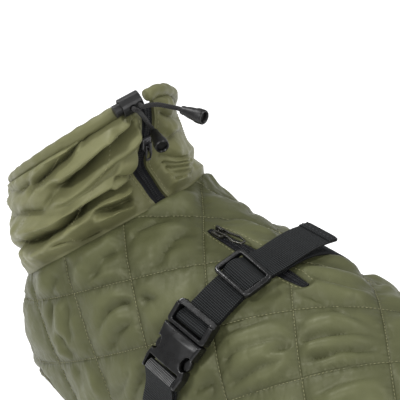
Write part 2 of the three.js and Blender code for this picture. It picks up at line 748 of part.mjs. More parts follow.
const STRAP_LINE = strapLine();
const GIRTH = STRAP_LINE[STRAP_LINE.length - 1].length;

// Position and directions on the strap line at a distance left of the spine
function strapAt(along) {
  const wrapped = ((along % GIRTH) + GIRTH) % GIRTH;
  let i = 0;
  while (STRAP_LINE[i + 1].length < wrapped) i += 1;
  const a = STRAP_LINE[i];
  const b = STRAP_LINE[i + 1];
  const t = (wrapped - a.length) / (b.length - a.length);
  const out = a.normal.clone().lerp(b.normal, t).normalize();
  const before = STRAP_LINE[i > 0 ? i - 1 : STRAP_LINE.length - 2].point;
  const after = STRAP_LINE[i + 2 < STRAP_LINE.length ? i + 2 : 1].point;
  const forward = b.point.clone().sub(before).lerp(after.clone().sub(a.point), t);
  const across = out.clone().cross(forward).normalize();
  return { point: a.point.clone().lerp(b.point, t), out, across };
}

// A rigid piece's frame on the strap: down the strap, across it and out
function hardwareFrame({ along, lift }) {
  const line = strapAt(along);
  const forward = line.across.clone().cross(line.out).normalize();
  const matrix = new THREE.Matrix4().makeBasis(forward, line.across, line.out);
  return matrix.setPosition(line.point.addScaledVector(line.out, lift));
}

// Webbing laid along a list of places
function strapPlace({ along, height, buckle, slide, up }) {
  if (along !== undefined) {
    const line = strapAt(along);
    return { origin: line.point.addScaledVector(line.out, height), across: line.across };
  }
  const onBuckle = buckle !== undefined;
  const matrix = onBuckle ? hardwareFrame(BUCKLE) : hardwareFrame(SLIDE);
  const origin = new THREE.Vector3(onBuckle ? buckle : slide, 0, up).applyMatrix4(matrix);
  return { origin, across: new THREE.Vector3().setFromMatrixColumn(matrix, 1) };
}

function ribbonGeometry(places) {
  const set = places.map(strapPlace);
  const frames = set.map(({ origin, across }, i) => {
    const before = set[Math.max(i - 1, 0)].origin;
    const after = set[Math.min(i + 1, set.length - 1)].origin;
    const tangent = after.clone().sub(before).normalize();
    return { origin, across, out: tangent.cross(across).negate().normalize() };
  });
  const sectionOf = (i) => {
    const wide = WEBBING.width / 2;
    const low = -WEBBING.thick / 2;
    const high = low + (places[i].thick ?? WEBBING.thick);
    return [[-wide, low], [wide, low], [wide, high], [-wide, high]];
  };
  return sweepGeometry(frames, sectionOf, false);
}

function makeStrap() {
  const { from, backGap, onCoat, onBelly, leaves, lands } = GIRTH_RUN;
  const far = GIRTH - backGap;
  const round = spread(from, far, WEBBING.grid).map((along) => {
    const off = smooth(Math.min(along, GIRTH - along), leaves, lands);
    return { along, height: onCoat + (onBelly - onCoat) * off };
  });
  const tail = [
    { along: TAIL_END.from, height: TAIL_END.fromHeight },
    { along: TAIL_END.from - 0.6, height: TAIL_END.fromHeight + 0.15, thick: TAIL_END.thick },
    { along: TAIL_END.to, height: TAIL_END.toHeight, thick: TAIL_END.thick },
  ];
  const places = [...FEMALE_END, ...round, { along: far, height: onCoat },
    ...UNDER_SLIDE, ...MALE_TURN, ...OVER_SLIDE, ...tail];
  addMesh('girth_strap', ribbonGeometry(places), FINISH.webbing);
}

// Two-slot slide
function makeSlide() {
  const { length, width, thick, barHalf, barThick, window, endBar, endSink } = SLIDE;
  const outline = roundedOutline(-length / 2, length / 2, -width / 2, width / 2, 4, 3);
  const slotEnd = length / 2 - endBar;
  let body = solidOf(plateBetween(outline, 0, thick, 0.7));
  for (const side of [-1, 1]) {
    const [near, far] = [side * barHalf, side * slotEnd].sort((a, b) => a - b);
    body = body.subtract(solidOf(boxBetween([near, -window, -1], [far, window, thick + 1])));
    const end = [side * slotEnd, side * (length / 2 + 1)].sort((a, b) => a - b);
    body = body.subtract(solidOf(boxBetween([end[0], -window, -1], [end[1], window, endSink])));
  }
  const overBar = boxBetween([-barHalf - 1, -window, barThick], [barHalf + 1, window, thick + 1]);
  body = body.subtract(solidOf(overBar));
  addMesh('strap_slider', geometryOf(body), FINISH.plastic, hardwareFrame(SLIDE));
}

// Side-release buckle, fastened. The male half has the frame towards the slide.
function makeBuckle() {
  const { width, thick, joint, front, back, window } = BUCKLE;
  const place = hardwareFrame(BUCKLE);
  const half = width / 2;

  const frameOutline = roundedOutline(front, joint - GAP, -half, half, 2.5, 2);
  let male = solidOf(plateBetween(frameOutline, MALE.low, thick - MALE.low, 0.8));
  const cutMale = (low, high) => {
    male = male.subtract(solidOf(boxBetween(low, high)));
  };
  cutMale([front + MALE.outerBar, -window, -1], [joint - MALE.rail, window, thick + 1]);
  cutMale([front - 1, -window, -1], [front + MALE.outerBar + 0.4, window, MALE.underBar]);
  cutMale([front - 1, -half - 1, MALE.outerBarTop], [front + MALE.outerBar, half + 1, thick + 1]);
  male = male.add(solidOf(crossBar(...MALE.bar, window + 1, 10)));
  const prong = boxBetween([joint - 2, -PRONG.half, PRONG.low], [PRONG.tip, PRONG.half, PRONG.high]);
  male = male.add(solidOf(prong));
  for (const side of [-1, 1]) {
    const arm = [side * PRONG.armIn, side * PRONG.armOut].sort((a, b) => a - b);
    const armBox = boxBetween([PRONG.armFrom, arm[0], PRONG.low], [PRONG.armTo, arm[1], PRONG.high]);
    male = male.add(solidOf(armBox));
    const { along, across, halfLong, halfWide, low, high } = BUTTON;
    const button = circleOutline(along, side * across, halfLong, halfWide, 12);
    male = male.add(solidOf(plateBetween(button, low, high, 0.4)));
  }
  addMesh('buckle_male', geometryOf(male), FINISH.plastic, place);

  const waist = [[joint, -half], [-3, -half + 0.6], [2, -half + 1.2], [10, -half + 1.6], [15, -half + 0.4],
    [back, -half + 1.6], [back, half - 1.6], [15, half - 0.4], [10, half - 1.6], [2, half - 1.2],
    [-3, half - 0.6], [joint, half]];
  let female = solidOf(plateBetween(waist, FEMALE.low, thick, FEMALE.bevel));
  const cutFemale = (geometry) => {
    female = female.subtract(solidOf(geometry));
  };
  cutFemale(boxBetween([joint - 1, -FEMALE.pocket, FEMALE.pocketLow],
    [FEMALE.pocketEnd, FEMALE.pocket, FEMALE.pocketHigh]));
  for (const side of [-1, 1]) {
    const eye = circleOutline(EYE.along, side * EYE.across, EYE.halfLong, EYE.halfWide, 12);
    cutFemale(plateBetween(eye, -1, thick + 1, 0));
  }
  cutFemale(boxBetween([FEMALE.window, -window, -1], [back + 1, window, thick + 1]));
  female = female.add(solidOf(crossBar(...FEMALE.bar, window + 1, 10)));
  addMesh('buckle_female', geometryOf(female), FINISH.plastic, place);
}

// Cord lock: a barrel with two cord holes, and its press button at the left end
function makeLock() {
  const centre = new THREE.Vector3(...LOCK.at);
  const { angle } = LOCK;
  const round = formPoint(RIM.radius, angle + 0.05).sub(formPoint(RIM.radius, angle - 0.05)).normalize();
  const out = formNormal(RIM.radius, angle);
  const side = out.clone().cross(round).normalize();
  const place = new THREE.Matrix4().makeBasis(round, side, round.clone().cross(side));
  place.setPosition(centre);
  const { radius, length, button, sunk, proud, well: depth, play, bore, holes } = LOCK;
  const along = new THREE.Matrix4().makeRotationZ(Math.PI / 2);
  const barrel = new THREE.CylinderGeometry(radius, radius, length, 20).applyMatrix4(along);
  let body = solidOf(barrel);
  const well = new THREE.CylinderGeometry(button + play, button + play, depth, 16).applyMatrix4(along);
  well.translate(length / 2, 0, 0);
  body = body.subtract(solidOf(well));
  for (const hole of holes) {
    const drill = new THREE.CylinderGeometry(bore, bore, 4 * radius, 10);
    drill.rotateX(Math.PI / 2);
    drill.translate(hole, 0, 0);
    body = body.subtract(solidOf(drill));
  }
  addMesh('cord_lock_body', geometryOf(body), FINISH.plastic, place);
  const plunger = new THREE.CylinderGeometry(button, button, proud + sunk, 16).applyMatrix4(along);
  plunger.translate(length / 2 + (proud - sunk) / 2, 0, 0);
  addMesh('cord_lock_plunger', plunger, FINISH.plastic, place);
}

// The free cord ends and their bells
function makeCords() {
  for (const { side, points, bell: start, toward } of CORDS) {
    const axis = new THREE.Vector3(...toward).normalize();
    const before = [CORD.radius * 2 + GAP, GAP].map((back) => (
      new THREE.Vector3(...start).addScaledVector(axis, -back)));
    const route = new THREE.CatmullRomCurve3([...points.map((p) => new THREE.Vector3(...p)), ...before]);
    const ring = circleOutline(0, 0, CORD.radius, CORD.radius, CORD.sides);
    const shape = new THREE.Shape(ring.map(([x, y]) => new THREE.Vector2(x, y)));
    const cord = new THREE.ExtrudeGeometry(shape, { steps: 10, bevelEnabled: false, extrudePath: route });
    addMesh(`draw_cord_${side}`, cord, FINISH.cord);
    const { length, neck, mouth } = BELL;
    const profile = [[0, 0], [neck, 0], [neck + 0.5, 2], [mouth - 0.5, length * 0.62],
      [mouth, length * 0.72], [mouth, length - 0.8], [mouth - 0.8, length], [0, length]];
    const bell = new THREE.LatheGeometry(profile.map(([r, y]) => new THREE.Vector2(r, y)), 14);
    bell.applyQuaternion(new THREE.Quaternion().setFromUnitVectors(new THREE.Vector3(0, 1, 0), axis));
    bell.translate(...start);
    addMesh(`cord_end_${side}`, bell, FINISH.plastic);
  }
}

makeShell();
makeCollar();
makeTapes();
makeZipHardware('back_zip', ZIPS.back, 0, FINISH.metal);
makeZipHardware('collar_zip', ZIPS.collar, zipAngle(ZIPS.collar.station, 0), FINISH.plastic);
makeHem();
makeStrap();
makeSlide();
makeBuckle();
makeLock();
makeCords();

export default coat;
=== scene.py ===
"""Dog winter coat, dressed: quilted nylon, scrunched collar, zips, girth strap and its buckle.

Everything stands on the coat's own form. A station runs from the collar's rim to the tail, and an
angle runs round from the spine, with the left side positive. Sizes are millimetres in the classes
and metres in the meshes.
"""
from __future__ import annotations

import logging
import math
from dataclasses import dataclass, field
from enum import Enum
from typing import Callable, Sequence

import bmesh
import bpy
import numpy as np
from mathutils import Matrix, Vector, noise
from mathutils.bvhtree import BVHTree

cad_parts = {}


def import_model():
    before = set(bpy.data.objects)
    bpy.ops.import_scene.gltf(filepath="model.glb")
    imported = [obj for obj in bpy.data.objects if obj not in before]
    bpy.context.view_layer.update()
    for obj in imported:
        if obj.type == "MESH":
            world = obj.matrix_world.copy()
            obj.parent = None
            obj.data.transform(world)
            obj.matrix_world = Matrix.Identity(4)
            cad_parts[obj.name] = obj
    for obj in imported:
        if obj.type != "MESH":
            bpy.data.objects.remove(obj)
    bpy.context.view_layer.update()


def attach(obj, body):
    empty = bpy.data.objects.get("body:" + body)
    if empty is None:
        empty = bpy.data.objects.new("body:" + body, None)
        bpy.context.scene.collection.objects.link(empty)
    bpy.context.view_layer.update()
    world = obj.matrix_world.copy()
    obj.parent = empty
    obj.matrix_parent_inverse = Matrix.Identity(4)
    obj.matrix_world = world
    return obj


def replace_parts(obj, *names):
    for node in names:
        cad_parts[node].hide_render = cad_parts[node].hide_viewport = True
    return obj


MM = 0.001
GAP = 0.3
Array = np.ndarray
Paint = dict[str, bpy.types.Material]
log = logging.getLogger("coat")


# --------------------------------------------------------------------------- numbers and form


def smooth(value: Array | float, low: float, high: float) -> Array:
    """A rise from 0 at low to 1 at high with soft ends."""
    t = np.clip((np.asarray(value, float) - low) / (high - low), 0, 1)
    return t * t * (3 - 2 * t)


def unit(vectors: Array) -> Array:
    """The vectors at length 1."""
    return vectors / np.maximum(np.linalg.norm(vectors, axis=-1, keepdims=True), 1e-12)


def wrapped(angle: Array | float) -> Array:
    """The angle between minus and plus half a turn."""
    return np.arctan2(np.sin(angle), np.cos(angle))


def running(line: Array) -> Array:
    """Distance run along a line at each of its points."""
    return np.r_[0, np.cumsum(np.linalg.norm(np.diff(line, axis=0), axis=1))]


def pairs(along: Array, across: Array) -> Array:
    """Two grids of numbers as one list of pairs."""
    return np.stack(np.broadcast_arrays(along, across), -1).reshape(-1, 2)


def corners(sides: int) -> Array:
    """The angles of a section's corners."""
    return 2 * np.pi * (np.arange(sides) + 0.5) / sides


def rigid(first: Array, second: Array, third: Array, origin: Array) -> Matrix:
    """A frame from its three directions and its origin."""
    return Matrix([*zip(first, second, third, origin), (0, 0, 0, 1)])


def ripple(along: Array, across: Array, seed: float) -> Array:
    """Smooth noise from about -1 to 1.

    Args:
        along: First coordinate, in noise cells.
        across: Second coordinate, in noise cells.
        seed: Picks another pattern.

    Returns:
        One value for each pair of coordinates.
    """
    a, b = np.broadcast_arrays(np.asarray(along, float), np.asarray(across, float))
    found = [noise.noise(Vector((u, v, seed))) for u, v in zip(a.ravel(), b.ravel())]
    return np.array(found).reshape(a.shape) * 1.6


def spline(points: Sequence[Sequence[float]], step: float) -> Array:
    """A smooth curve through points, cut into even steps."""
    given = np.array(points, float)
    padded = np.concatenate([[2 * given[0] - given[1]], given, [2 * given[-1] - given[-2]]])
    fine = []
    for a, b, c, d in zip(padded, padded[1:], padded[2:], padded[3:]):
        t = np.linspace(0, 1, 24, endpoint=False)[:, None]
        fine.append(0.5 * (2 * b + (c - a) * t + (2 * a - 5 * b + 4 * c - d) * t ** 2
                           + (3 * b - a - 3 * c + d) * t ** 3))
    line = np.concatenate([*fine, given[-1:]])
    length = running(line[:, :3])
    at = np.linspace(0, length[-1], max(2, int(round(length[-1] / step)) + 1))
    return np.stack([np.interp(at, length, line[:, k]) for k in range(line.shape[1])], -1)


class Table:
    """Columns read at a key by a cubic that never overshoots its rows."""

    def __init__(self, names: Sequence[str], rows: Sequence[Sequence[float]]) -> None:
        """Keeps the rows, the first column as the key."""
        data = np.array(rows, float)
        self.keys = data[:, 0]
        self.columns = {name: data[:, i + 1] for i, name in enumerate(names)}
        self.slopes = {name: self._slopes(values) for name, values in self.columns.items()}

    def _slopes(self, values: Array) -> Array:
        """The slope at each row, level where the column turns."""
        step = np.diff(self.keys)
        rise = np.diff(values) / step
        slope = np.zeros(len(values))
        slope[0], slope[-1] = rise[0], rise[-1]
        for i in range(1, len(values) - 1):
            if rise[i - 1] * rise[i] > 0:
                before = 2 * step[i] + step[i - 1]
                after = step[i] + 2 * step[i - 1]
                slope[i] = (before + after) / (before / rise[i - 1] + after / rise[i])
        return slope

    def read(self, name: str, at: Array | float) -> Array:
        """The column's value at each key."""
        inside = np.clip(np.asarray(at, float), self.keys[0], self.keys[-1])
        row = np.clip(np.searchsorted(self.keys, inside) - 1, 0, len(self.keys) - 2)
        step = self.keys[row + 1] - self.keys[row]
        t = (inside - self.keys[row]) / step
        values, slopes = self.columns[name], self.slopes[name]
        start, end = slopes[row] * step, slopes[row + 1] * step
        return (values[row] * (1 - t) ** 2 * (1 + 2 * t) + start * t * (1 - t) ** 2
                + values[row + 1] * t * t * (3 - 2 * t) - end * t * t * (1 - t))


SECTIONS = Table(
    ("top_x", "top_z", "low_x", "low_z", "half"),
    (
        (0, -114, 77, -226, -28, 54),
        (25, -112, 50, -222, -50, 57),
        (52, -113, 22, -214, -74, 61),
        (77, -99, 1, -203, -96, 66),
        (92, -82, -1, -206, -124, 73),
        (110, -60, -1, -204, -154, 78),
        (138, -32, 0, -183, -186, 84),
        (185, 0, 0, -110, -206, 87),
        (270, 60, 0, 20, -208, 88),
        (362, 140, -2, 135, -196, 88),
        (454, 230, -8, 230, -178, 85),
        (524, 300, -20, 300, -160, 78),
        (549, 322, -26, 328, -150, 74),
    ),
)
HEM = Table(
    ("angle",),
    ((132, 115), (137, 112.4), (146, 111), (160, 110.5), (200, 112), (270, 115), (362, 114),
     (454, 107), (500, 96), (530, 76), (549, 42)),
)
COLLAR_ZIP = Table(("left",), ((0, 0.3), (17, 0.3), (34, 2.6), (49, 8.2), (64, 3.6), (77, 1.6)))


@dataclass(frozen=True)
class Form:
    """The coat's form: a tilted ellipse at each station, its top on the spine."""

    tail: float = 549.0
    seam: float = 78.0
    wider: float = 6.0

    def point(self, station: Array | float, angle: Array | float) -> Array:
        """Places on the form, in millimetres."""
        station, angle = np.broadcast_arrays(np.asarray(station, float), np.asarray(angle, float))
        top_x, top_z, low_x, low_z, half = (
            SECTIONS.read(name, station) for name in ("top_x", "top_z", "low_x", "low_z", "half"))
        up = np.cos(angle)
        return np.stack([(top_x + low_x) / 2 + (top_x - low_x) / 2 * up,
                         -half * np.sin(angle),
                         (top_z + low_z) / 2 + (top_z - low_z) / 2 * up], axis=-1)

    def normal(self, station: Array | float, angle: Array | float) -> Array:
        """Outward directions."""
        station = np.asarray(station, float)
        around = self.point(station, angle + 0.01) - self.point(station, angle - 0.01)
        before = np.maximum(station - 1, 0)
        after = np.minimum(station + 1, self.tail)
        along = self.point(after, angle) - self.point(before, angle)
        return unit(np.cross(around, along))

    def at(self, station: Array | float, angle: Array | float, lift: Array | float) -> Array:
        """Places a distance out from the form."""
        lift = np.asarray(lift, float)[..., None]
        return self.point(station, angle) + self.normal(station, angle) * lift

    def line(self, station: Array, angle: Array, lift: float) -> tuple[Array, Array]:
        """Places a distance out from the form, and their outward directions."""
        return self.at(station, angle, lift), self.normal(station, angle)

    def stations_for(self, station: Array | float, angle: Array | float, distance: float) -> Array:
        """How many stations it takes there to clear a section by a distance."""
        around = unit(self.point(station, angle + 0.01) - self.point(station, angle - 0.01))
        along = self.point(station + 1, angle) - self.point(station, angle)
        return distance / np.linalg.norm(np.cross(along, around), axis=-1)

    def arc(self, station: Array | float, angle: Array | float) -> Array:
        """Distance round the section from the spine, left positive."""
        station, angle = np.broadcast_arrays(np.asarray(station, float), np.asarray(angle, float))
        parts = np.linspace(0, 1, 25)
        line = self.point(station[..., None], angle[..., None] * parts)
        length = np.linalg.norm(np.diff(line, axis=-2), axis=-1).sum(-1)
        return np.sign(angle) * length

    def flare(self, station: Array, angle: Array) -> Array:
        """Extra height on both sides of the neck seam, where the coat widens on the right."""
        right = np.degrees(-wrapped(angle))
        reach = smooth(right, 22, 46) * (1 - smooth(right, 92, 130))
        return self.wider * reach * np.exp(-((station - self.seam) / 9) ** 2)

    def half(self, station: Array | float) -> Array:
        """Half the width of the section."""
        return SECTIONS.read("half", station)


@dataclass(frozen=True)
class Quilt:
    """Two families of slanting seams, and the soft cells between them."""

    rising_pitch: float = 66.0
    rising_at: float = 54.0
    falling_pitch: float = 74.5
    falling_at: float = 11.7
    puff: float = 4.0
    seam: float = -1.3
    groove: float = 0.085
    fullness: float = 0.56
    placed_part: float = 1.15
    copied_part: float = 0.6
    gather: float = 0.46
    gather_pitch: float = 12.5
    drifts: tuple[tuple[float, ...], ...] = (
        (-0.85, 140, 16, 3.1, 2.4), (-1.25, 110, 21, 7.7, 1.6), (0.25, 70, 28, 12.4, 0.6))

    def height(self, x: Array, arc: Array) -> Array:
        """Height of the cloth's face above the form.

        Args:
            x: Place along the coat.
            arc: Distance round from the spine.

        Returns:
            The height, at the seam depth on every seam.
        """
        rising = np.abs(np.sin(np.pi * (x + arc - self.rising_at) / self.rising_pitch))
        falling = np.abs(np.sin(np.pi * (x - arc - self.falling_at) / self.falling_pitch))
        round_bottom = [s * s / np.sqrt(s * s + self.groove ** 2) for s in (rising, falling)]
        both = round_bottom[0] * round_bottom[1]
        cell = self.puff * both ** self.fullness
        loose = smooth(both, 0.02, 0.45)
        fold = np.zeros_like(cell)
        for turn, long, wide, seed, deep in self.drifts:
            u = x * math.cos(turn) + arc * math.sin(turn)
            v = arc * math.cos(turn) - x * math.sin(turn)
            drift = ripple(u / long, v / wide + 0.3 * ripple(u / 60, v / 60, seed + 30), seed)
            fold += deep * (np.sqrt(drift ** 2 + 0.002) + 0.4 * drift - 0.42)
        fold += 0.6 * ripple(x / 38, arc / 38, 21.0)
        fold += self.placed_part * self.placed(x, arc)
        drawn = np.zeros_like(cell)
        for s, along, seed in ((rising, x - arc, 1.0), (falling, x + arc, 2.0)):
            wave = np.sin(along * 2 * math.pi / self.gather_pitch
                          + 3.4 * ripple(x / 17, arc / 17, seed))
            strength = 0.5 + 0.9 * np.abs(ripple(x / 31, arc / 31, seed + 5))
            near = np.exp(-(s / 0.27) ** 2) * smooth(s, 0.0, 0.1)
            drawn += self.gather * strength * wave * near
        return self.seam + cell + fold * loose + drawn

    def placed(self, x: Array, arc: Array) -> Array:
        """The listed creases of the left side, and the same moved and turned on the right."""
        left = BODY_CREASES.height(x, arc)
        right = BODY_CREASES.height(x - 34, -arc + 6) + BODY_CREASES.height(x - 176, -arc - 10)
        rear = BODY_CREASES.height(x - 186, arc - 14)
        copies = right * smooth(-arc, 30, 52) + rear * smooth(x, 110, 140) * smooth(arc, 10, 34)
        return left + self.copied_part * copies

    def seams(self, reach: tuple[float, float], arcs: tuple[float, float]) -> list[Array]:
        """Seam lines as pairs of x and arc, 2 mm apart, over a stretch of the coat."""
        lines = []
        for pitch, start, way in ((self.rising_pitch, self.rising_at, -1),
                                  (self.falling_pitch, self.falling_at, 1)):
            for k in range(-12, 14):
                arc = np.arange(arcs[0], arcs[1], 2.0)
                x = start + k * pitch + way * arc
                inside = (x > reach[0]) & (x < reach[1])
                if inside.sum() > 4:
                    lines.append(np.stack([x[inside], arc[inside]], -1))
        return lines


@dataclass(frozen=True)
class Creases:
    """Creases given as a list: each is a depth and the points that it runs through.

    The cloth dips sharply along a crease and swells softly beside it. Scale turns the points into
    millimetres, bulge is how far off the cloth swells, shoulder how much, steep makes one side
    wider, and fade is the part of a crease over which it starts.
    """

    lines: tuple[tuple[float, tuple[tuple[float, float], ...]], ...]
    scale: tuple[float, float]
    width: float
    bulge: float
    shoulder: float
    steep: float
    fade: float
    waver: float = 0.8
    depth: float = 1.45

    def height(self, u: Array, v: Array) -> Array:
        """Height that the creases add.

        Args:
            u: First coordinate, in the units of the points.
            v: Second coordinate.

        Returns:
            Millimetres, below 0 on a crease.
        """
        spots = np.stack([u * self.scale[0], v * self.scale[1]], -1)
        spots = spots + self.waver * np.stack([ripple(spots[..., 0] / 14, spots[..., 1] / 14, seed)
                                               for seed in (81.0, 83.0)], -1)
        total = np.zeros(u.shape)
        for depth, points in self.lines:
            line = spline(np.array(points) * self.scale, 2.0)
            start, step = line[:-1], np.diff(line, axis=0)
            near, along, side = np.full(u.shape, 1e9), np.zeros(u.shape), np.zeros(u.shape)
            for i, (a, d) in enumerate(zip(start, step)):
                t = np.clip(((spots - a) @ d) / (d @ d), 0, 1)
                off = spots - a - t[..., None] * d
                gap = np.linalg.norm(off, axis=-1)
                closer = gap < near
                side = np.where(closer, np.sign(d[0] * off[..., 1] - d[1] * off[..., 0]), side)
                near = np.where(closer, gap, near)
                along = np.where(closer, (i + t) / len(step), along)
            taper = smooth(along, 0, self.fade) * (1 - smooth(along, 1 - 2 * self.fade, 1))
            deep = self.depth * depth * taper * (1 - smooth(near, 12, 24))
            width = self.width * np.where(side * self.steep > 0, 1.0, 1.0 + abs(self.steep))
            sharp = np.exp(-(np.sqrt(near ** 2 + 0.09) - 0.3) / width)
            swell = np.exp(-((near - self.bulge) / (0.72 * self.bulge)) ** 2)
            beside = np.where(side * self.steep >= 0, 1.0, 0.3)
            total += deep * (self.shoulder * swell * beside - sharp)
        return total


# Degrees round the collar, left positive, and stations.
COLLAR_CREASES = Creases(
    (
        (4.0, ((25, 5), (35, 6), (46, 9), (58, 14), (67, 16), (74, 19), (88, 22))),
        (1.6, ((43, 7), (47, 3), (50, 0))),
        (5.6, ((11, 12), (20, 18), (28, 20), (38, 24), (51, 30), (57, 32), (68, 30))),
        (6.4, ((12, 55), (20, 52), (33, 52), (43, 54), (49, 58), (63, 62), (79, 61), (96, 58),
               (118, 52))),
        (3.6, ((13, 47), (21, 44), (30, 41))),
        (3.8, ((17, 67), (23, 66), (30, 65), (40, 62))),
        (4.2, ((24, 79), (35, 77), (42, 74), (52, 73), (62, 70), (74, 71))),
        (2.2, ((70, 45), (87, 38), (107, 36), (124, 40))),
        (2.2, ((84, 17), (98, 20), (112, 16), (134, 14))),
        (3.6, ((96, 58), (122, 61), (150, 62), (178, 60), (204, 63))),
        (2.8, ((128, 24), (156, 20), (186, 25), (216, 20))),
        (2.4, ((112, 34), (140, 30), (170, 36), (198, 32))),
        (2.0, ((-4, 46), (-16, 50), (-31, 57), (-50, 62), (-66, 63), (-84, 60))),
        (2.2, ((-6, 53), (-18, 58), (-31, 62))),
        (2.4, ((-7, 58), (-20, 63), (-36, 67))),
        (1.8, ((-8, 62), (-16, 66), (-24, 68))),
        (2.2, ((-9, 67), (-20, 70), (-33, 73))),
        (1.5, ((-12, 37), (-26, 36), (-38, 40))),
        (2.0, ((-8, 16), (-18, 22), (-30, 26), (-40, 27))),
        (2.4, ((-76, 38), (-88, 36), (-100, 40), (-118, 44), (-140, 40))),
        (3.2, ((-78, 18), (-92, 16), (-108, 22), (-130, 27))),
        (3.0, ((-88, 68), (-108, 64), (-132, 60), (-150, 62))),
    ),
    scale=(1.12, 1.0), width=1.9, bulge=7.0, shoulder=1.0, steep=0.0, fade=0.1,
)
# Millimetres along the coat and round it from the spine, left positive.
BODY_CREASES = Creases(
    (
        (2.0, ((-90, 28), (-94, 44), (-99, 60), (-105, 76), (-110, 96))),
        (1.3, ((-84, 4), (-90, 24), (-93, 40), (-94, 54))),
        (1.6, ((-66, 4), (-68, 22), (-64, 40), (-60, 56))),
        (1.5, ((-97, 62), (-103, 80), (-106, 100), (-104, 118))),
        (2.1, ((-44, 60), (-60, 70), (-74, 84), (-80, 100), (-78, 122))),
        (1.3, ((-56, 84), (-66, 104), (-68, 122), (-64, 136))),
        (1.6, ((-114, 98), (-113, 116), (-106, 134), (-98, 146))),
        (1.5, ((-129, 92), (-132, 112), (-129, 132), (-122, 152))),
        (1.6, ((-94, 126), (-80, 136), (-66, 148), (-56, 160))),
        (1.5, ((-120, 138), (-102, 150), (-84, 162))),
        (2.0, ((0, 66), (10, 50), (24, 34), (42, 18), (62, 6))),
        (2.4, ((36, 58), (48, 40), (62, 25), (80, 10), (92, 2))),
        (1.2, ((12, 80), (22, 60), (38, 44), (54, 32))),
        (1.6, ((24, 94), (32, 72), (48, 52), (64, 40))),
        (2.1, ((54, 58), (68, 38), (86, 20), (108, 6))),
        (1.2, ((80, 60), (92, 42), (112, 24))),
        (1.7, ((20, 12), (40, 6), (64, 6), (84, 2))),
        (1.5, ((16, -8), (40, -12), (60, -28))),
        (1.6, ((-64, -20), (-42, -32), (-16, -40))),
        (1.6, ((-28, 92), (-36, 112), (-40, 132), (-38, 146))),
        (1.5, ((-26, 58), (-25, 42), (-20, 24))),
        (1.6, ((-38, 8), (-49, 30), (-54, 52))),
        (1.2, ((-46, 112), (-50, 130), (-60, 150))),
        (1.5, ((4, 104), (14, 88), (20, 100), (26, 118))),
    ),
    scale=(1.0, 1.0), width=1.15, bulge=8.0, shoulder=0.75, steep=2.2, fade=0.22,
)
FORM = Form()
QUILT = Quilt()


# --------------------------------------------------------------------------- meshes


def put(name: str, data: bpy.types.ID) -> bpy.types.Object:
    """A new object in the scene."""
    made = bpy.data.objects.new(name, data)
    bpy.context.scene.collection.objects.link(made)
    return made


def shade_smooth(mesh: bpy.types.Mesh) -> None:
    """Shades every face smooth."""
    mesh.polygons.foreach_set("use_smooth", [True] * len(mesh.polygons))


def vectors(mesh: bpy.types.Mesh, name: str, values: Array) -> None:
    """Gives each vertex a vector under a name."""
    layer = mesh.attributes.new(name, "FLOAT_VECTOR", "POINT")
    layer.data.foreach_set("vector", values.astype(np.float32).ravel())


def settled(thing: bpy.types.Object) -> bpy.types.Mesh:
    """The plain mesh that an object's modifiers make. The object goes."""
    bpy.context.view_layer.update()
    graph = bpy.context.evaluated_depsgraph_get()
    result = bpy.data.meshes.new_from_object(thing.evaluated_get(graph))
    thing.modifiers.clear()
    bpy.data.objects.remove(thing)
    return result


def make_object(name: str, points: Array, faces: Sequence[Sequence[int]],
                material: bpy.types.Material, cloth: Array | None = None,
                sharp: float = 50.0) -> bpy.types.Object:
    """A smooth-shaded mesh object at the origin.

    Args:
        name: Its name.
        points: Its vertices, in millimetres.
        faces: Vertex numbers of each face, anticlockwise from outside.
        material: Its finish.
        cloth: A place on the cloth for each vertex, kept as the attribute that weaves read.
        sharp: Edges bent by more than this many degrees stay sharp.

    Returns:
        The object, linked to the scene.
    """
    mesh = bpy.data.meshes.new(name)
    mesh.from_pydata((np.asarray(points) * MM).tolist(), [], [list(map(int, f)) for f in faces])
    if cloth is not None:
        vectors(mesh, "cloth", np.pad(cloth, ((0, 0), (0, 3 - cloth.shape[1]))))
    shade_smooth(mesh)
    mesh.set_sharp_from_angle(angle=math.radians(sharp))
    mesh.materials.append(material)
    mesh.update()
    return put(name, mesh)


def cloth_wall(name: str, outer: Array, inner: Array, cells: Array, cloth: Array,
               material: bpy.types.Material, wrap: bool = False) -> bpy.types.Object:
    """A closed wall of cloth over the cells of a grid.

    Args:
        name: Its name.
        outer: Outer points, rows by columns.
        inner: Inner points, the same.
        cells: True where a cell exists, one row and (without wrap) one column fewer.
        cloth: A place on the cloth for each outer point, and where given a third number, the height
            from which the nylon paints shade and highlight.
        material: Its finish.
        wrap: True where the last column joins the first.

    Returns:
        The wall, with the same places on the cloth inside and outside.
    """
    rows, columns = outer.shape[:2]
    i, j = np.nonzero(cells)
    k = (j + 1) % columns if wrap else j + 1
    quads = np.stack([i * columns + j, i * columns + k, (i + 1) * columns + k,
                      (i + 1) * columns + j], -1)
    count = rows * columns
    edges: dict[tuple[int, int], None] = {}
    for quad in quads.tolist():
        for a, b in zip(quad, quad[1:] + quad[:1]):
            if (b, a) in edges:
                del edges[(b, a)]
            else:
                edges[(a, b)] = None
    faces = quads.tolist() + (quads[:, ::-1] + count).tolist()
    faces += [[a, a + count, b + count, b][::-1] for a, b in edges]
    points = np.concatenate([outer.reshape(-1, 3), inner.reshape(-1, 3)])
    used = np.unique(np.array([v for f in faces for v in f]))
    place = np.full(len(points), -1)
    place[used] = np.arange(len(used))
    flat = np.tile(cloth.reshape(count, -1), (2, 1))
    return make_object(name, points[used], place[np.array(faces)], material, flat[used])


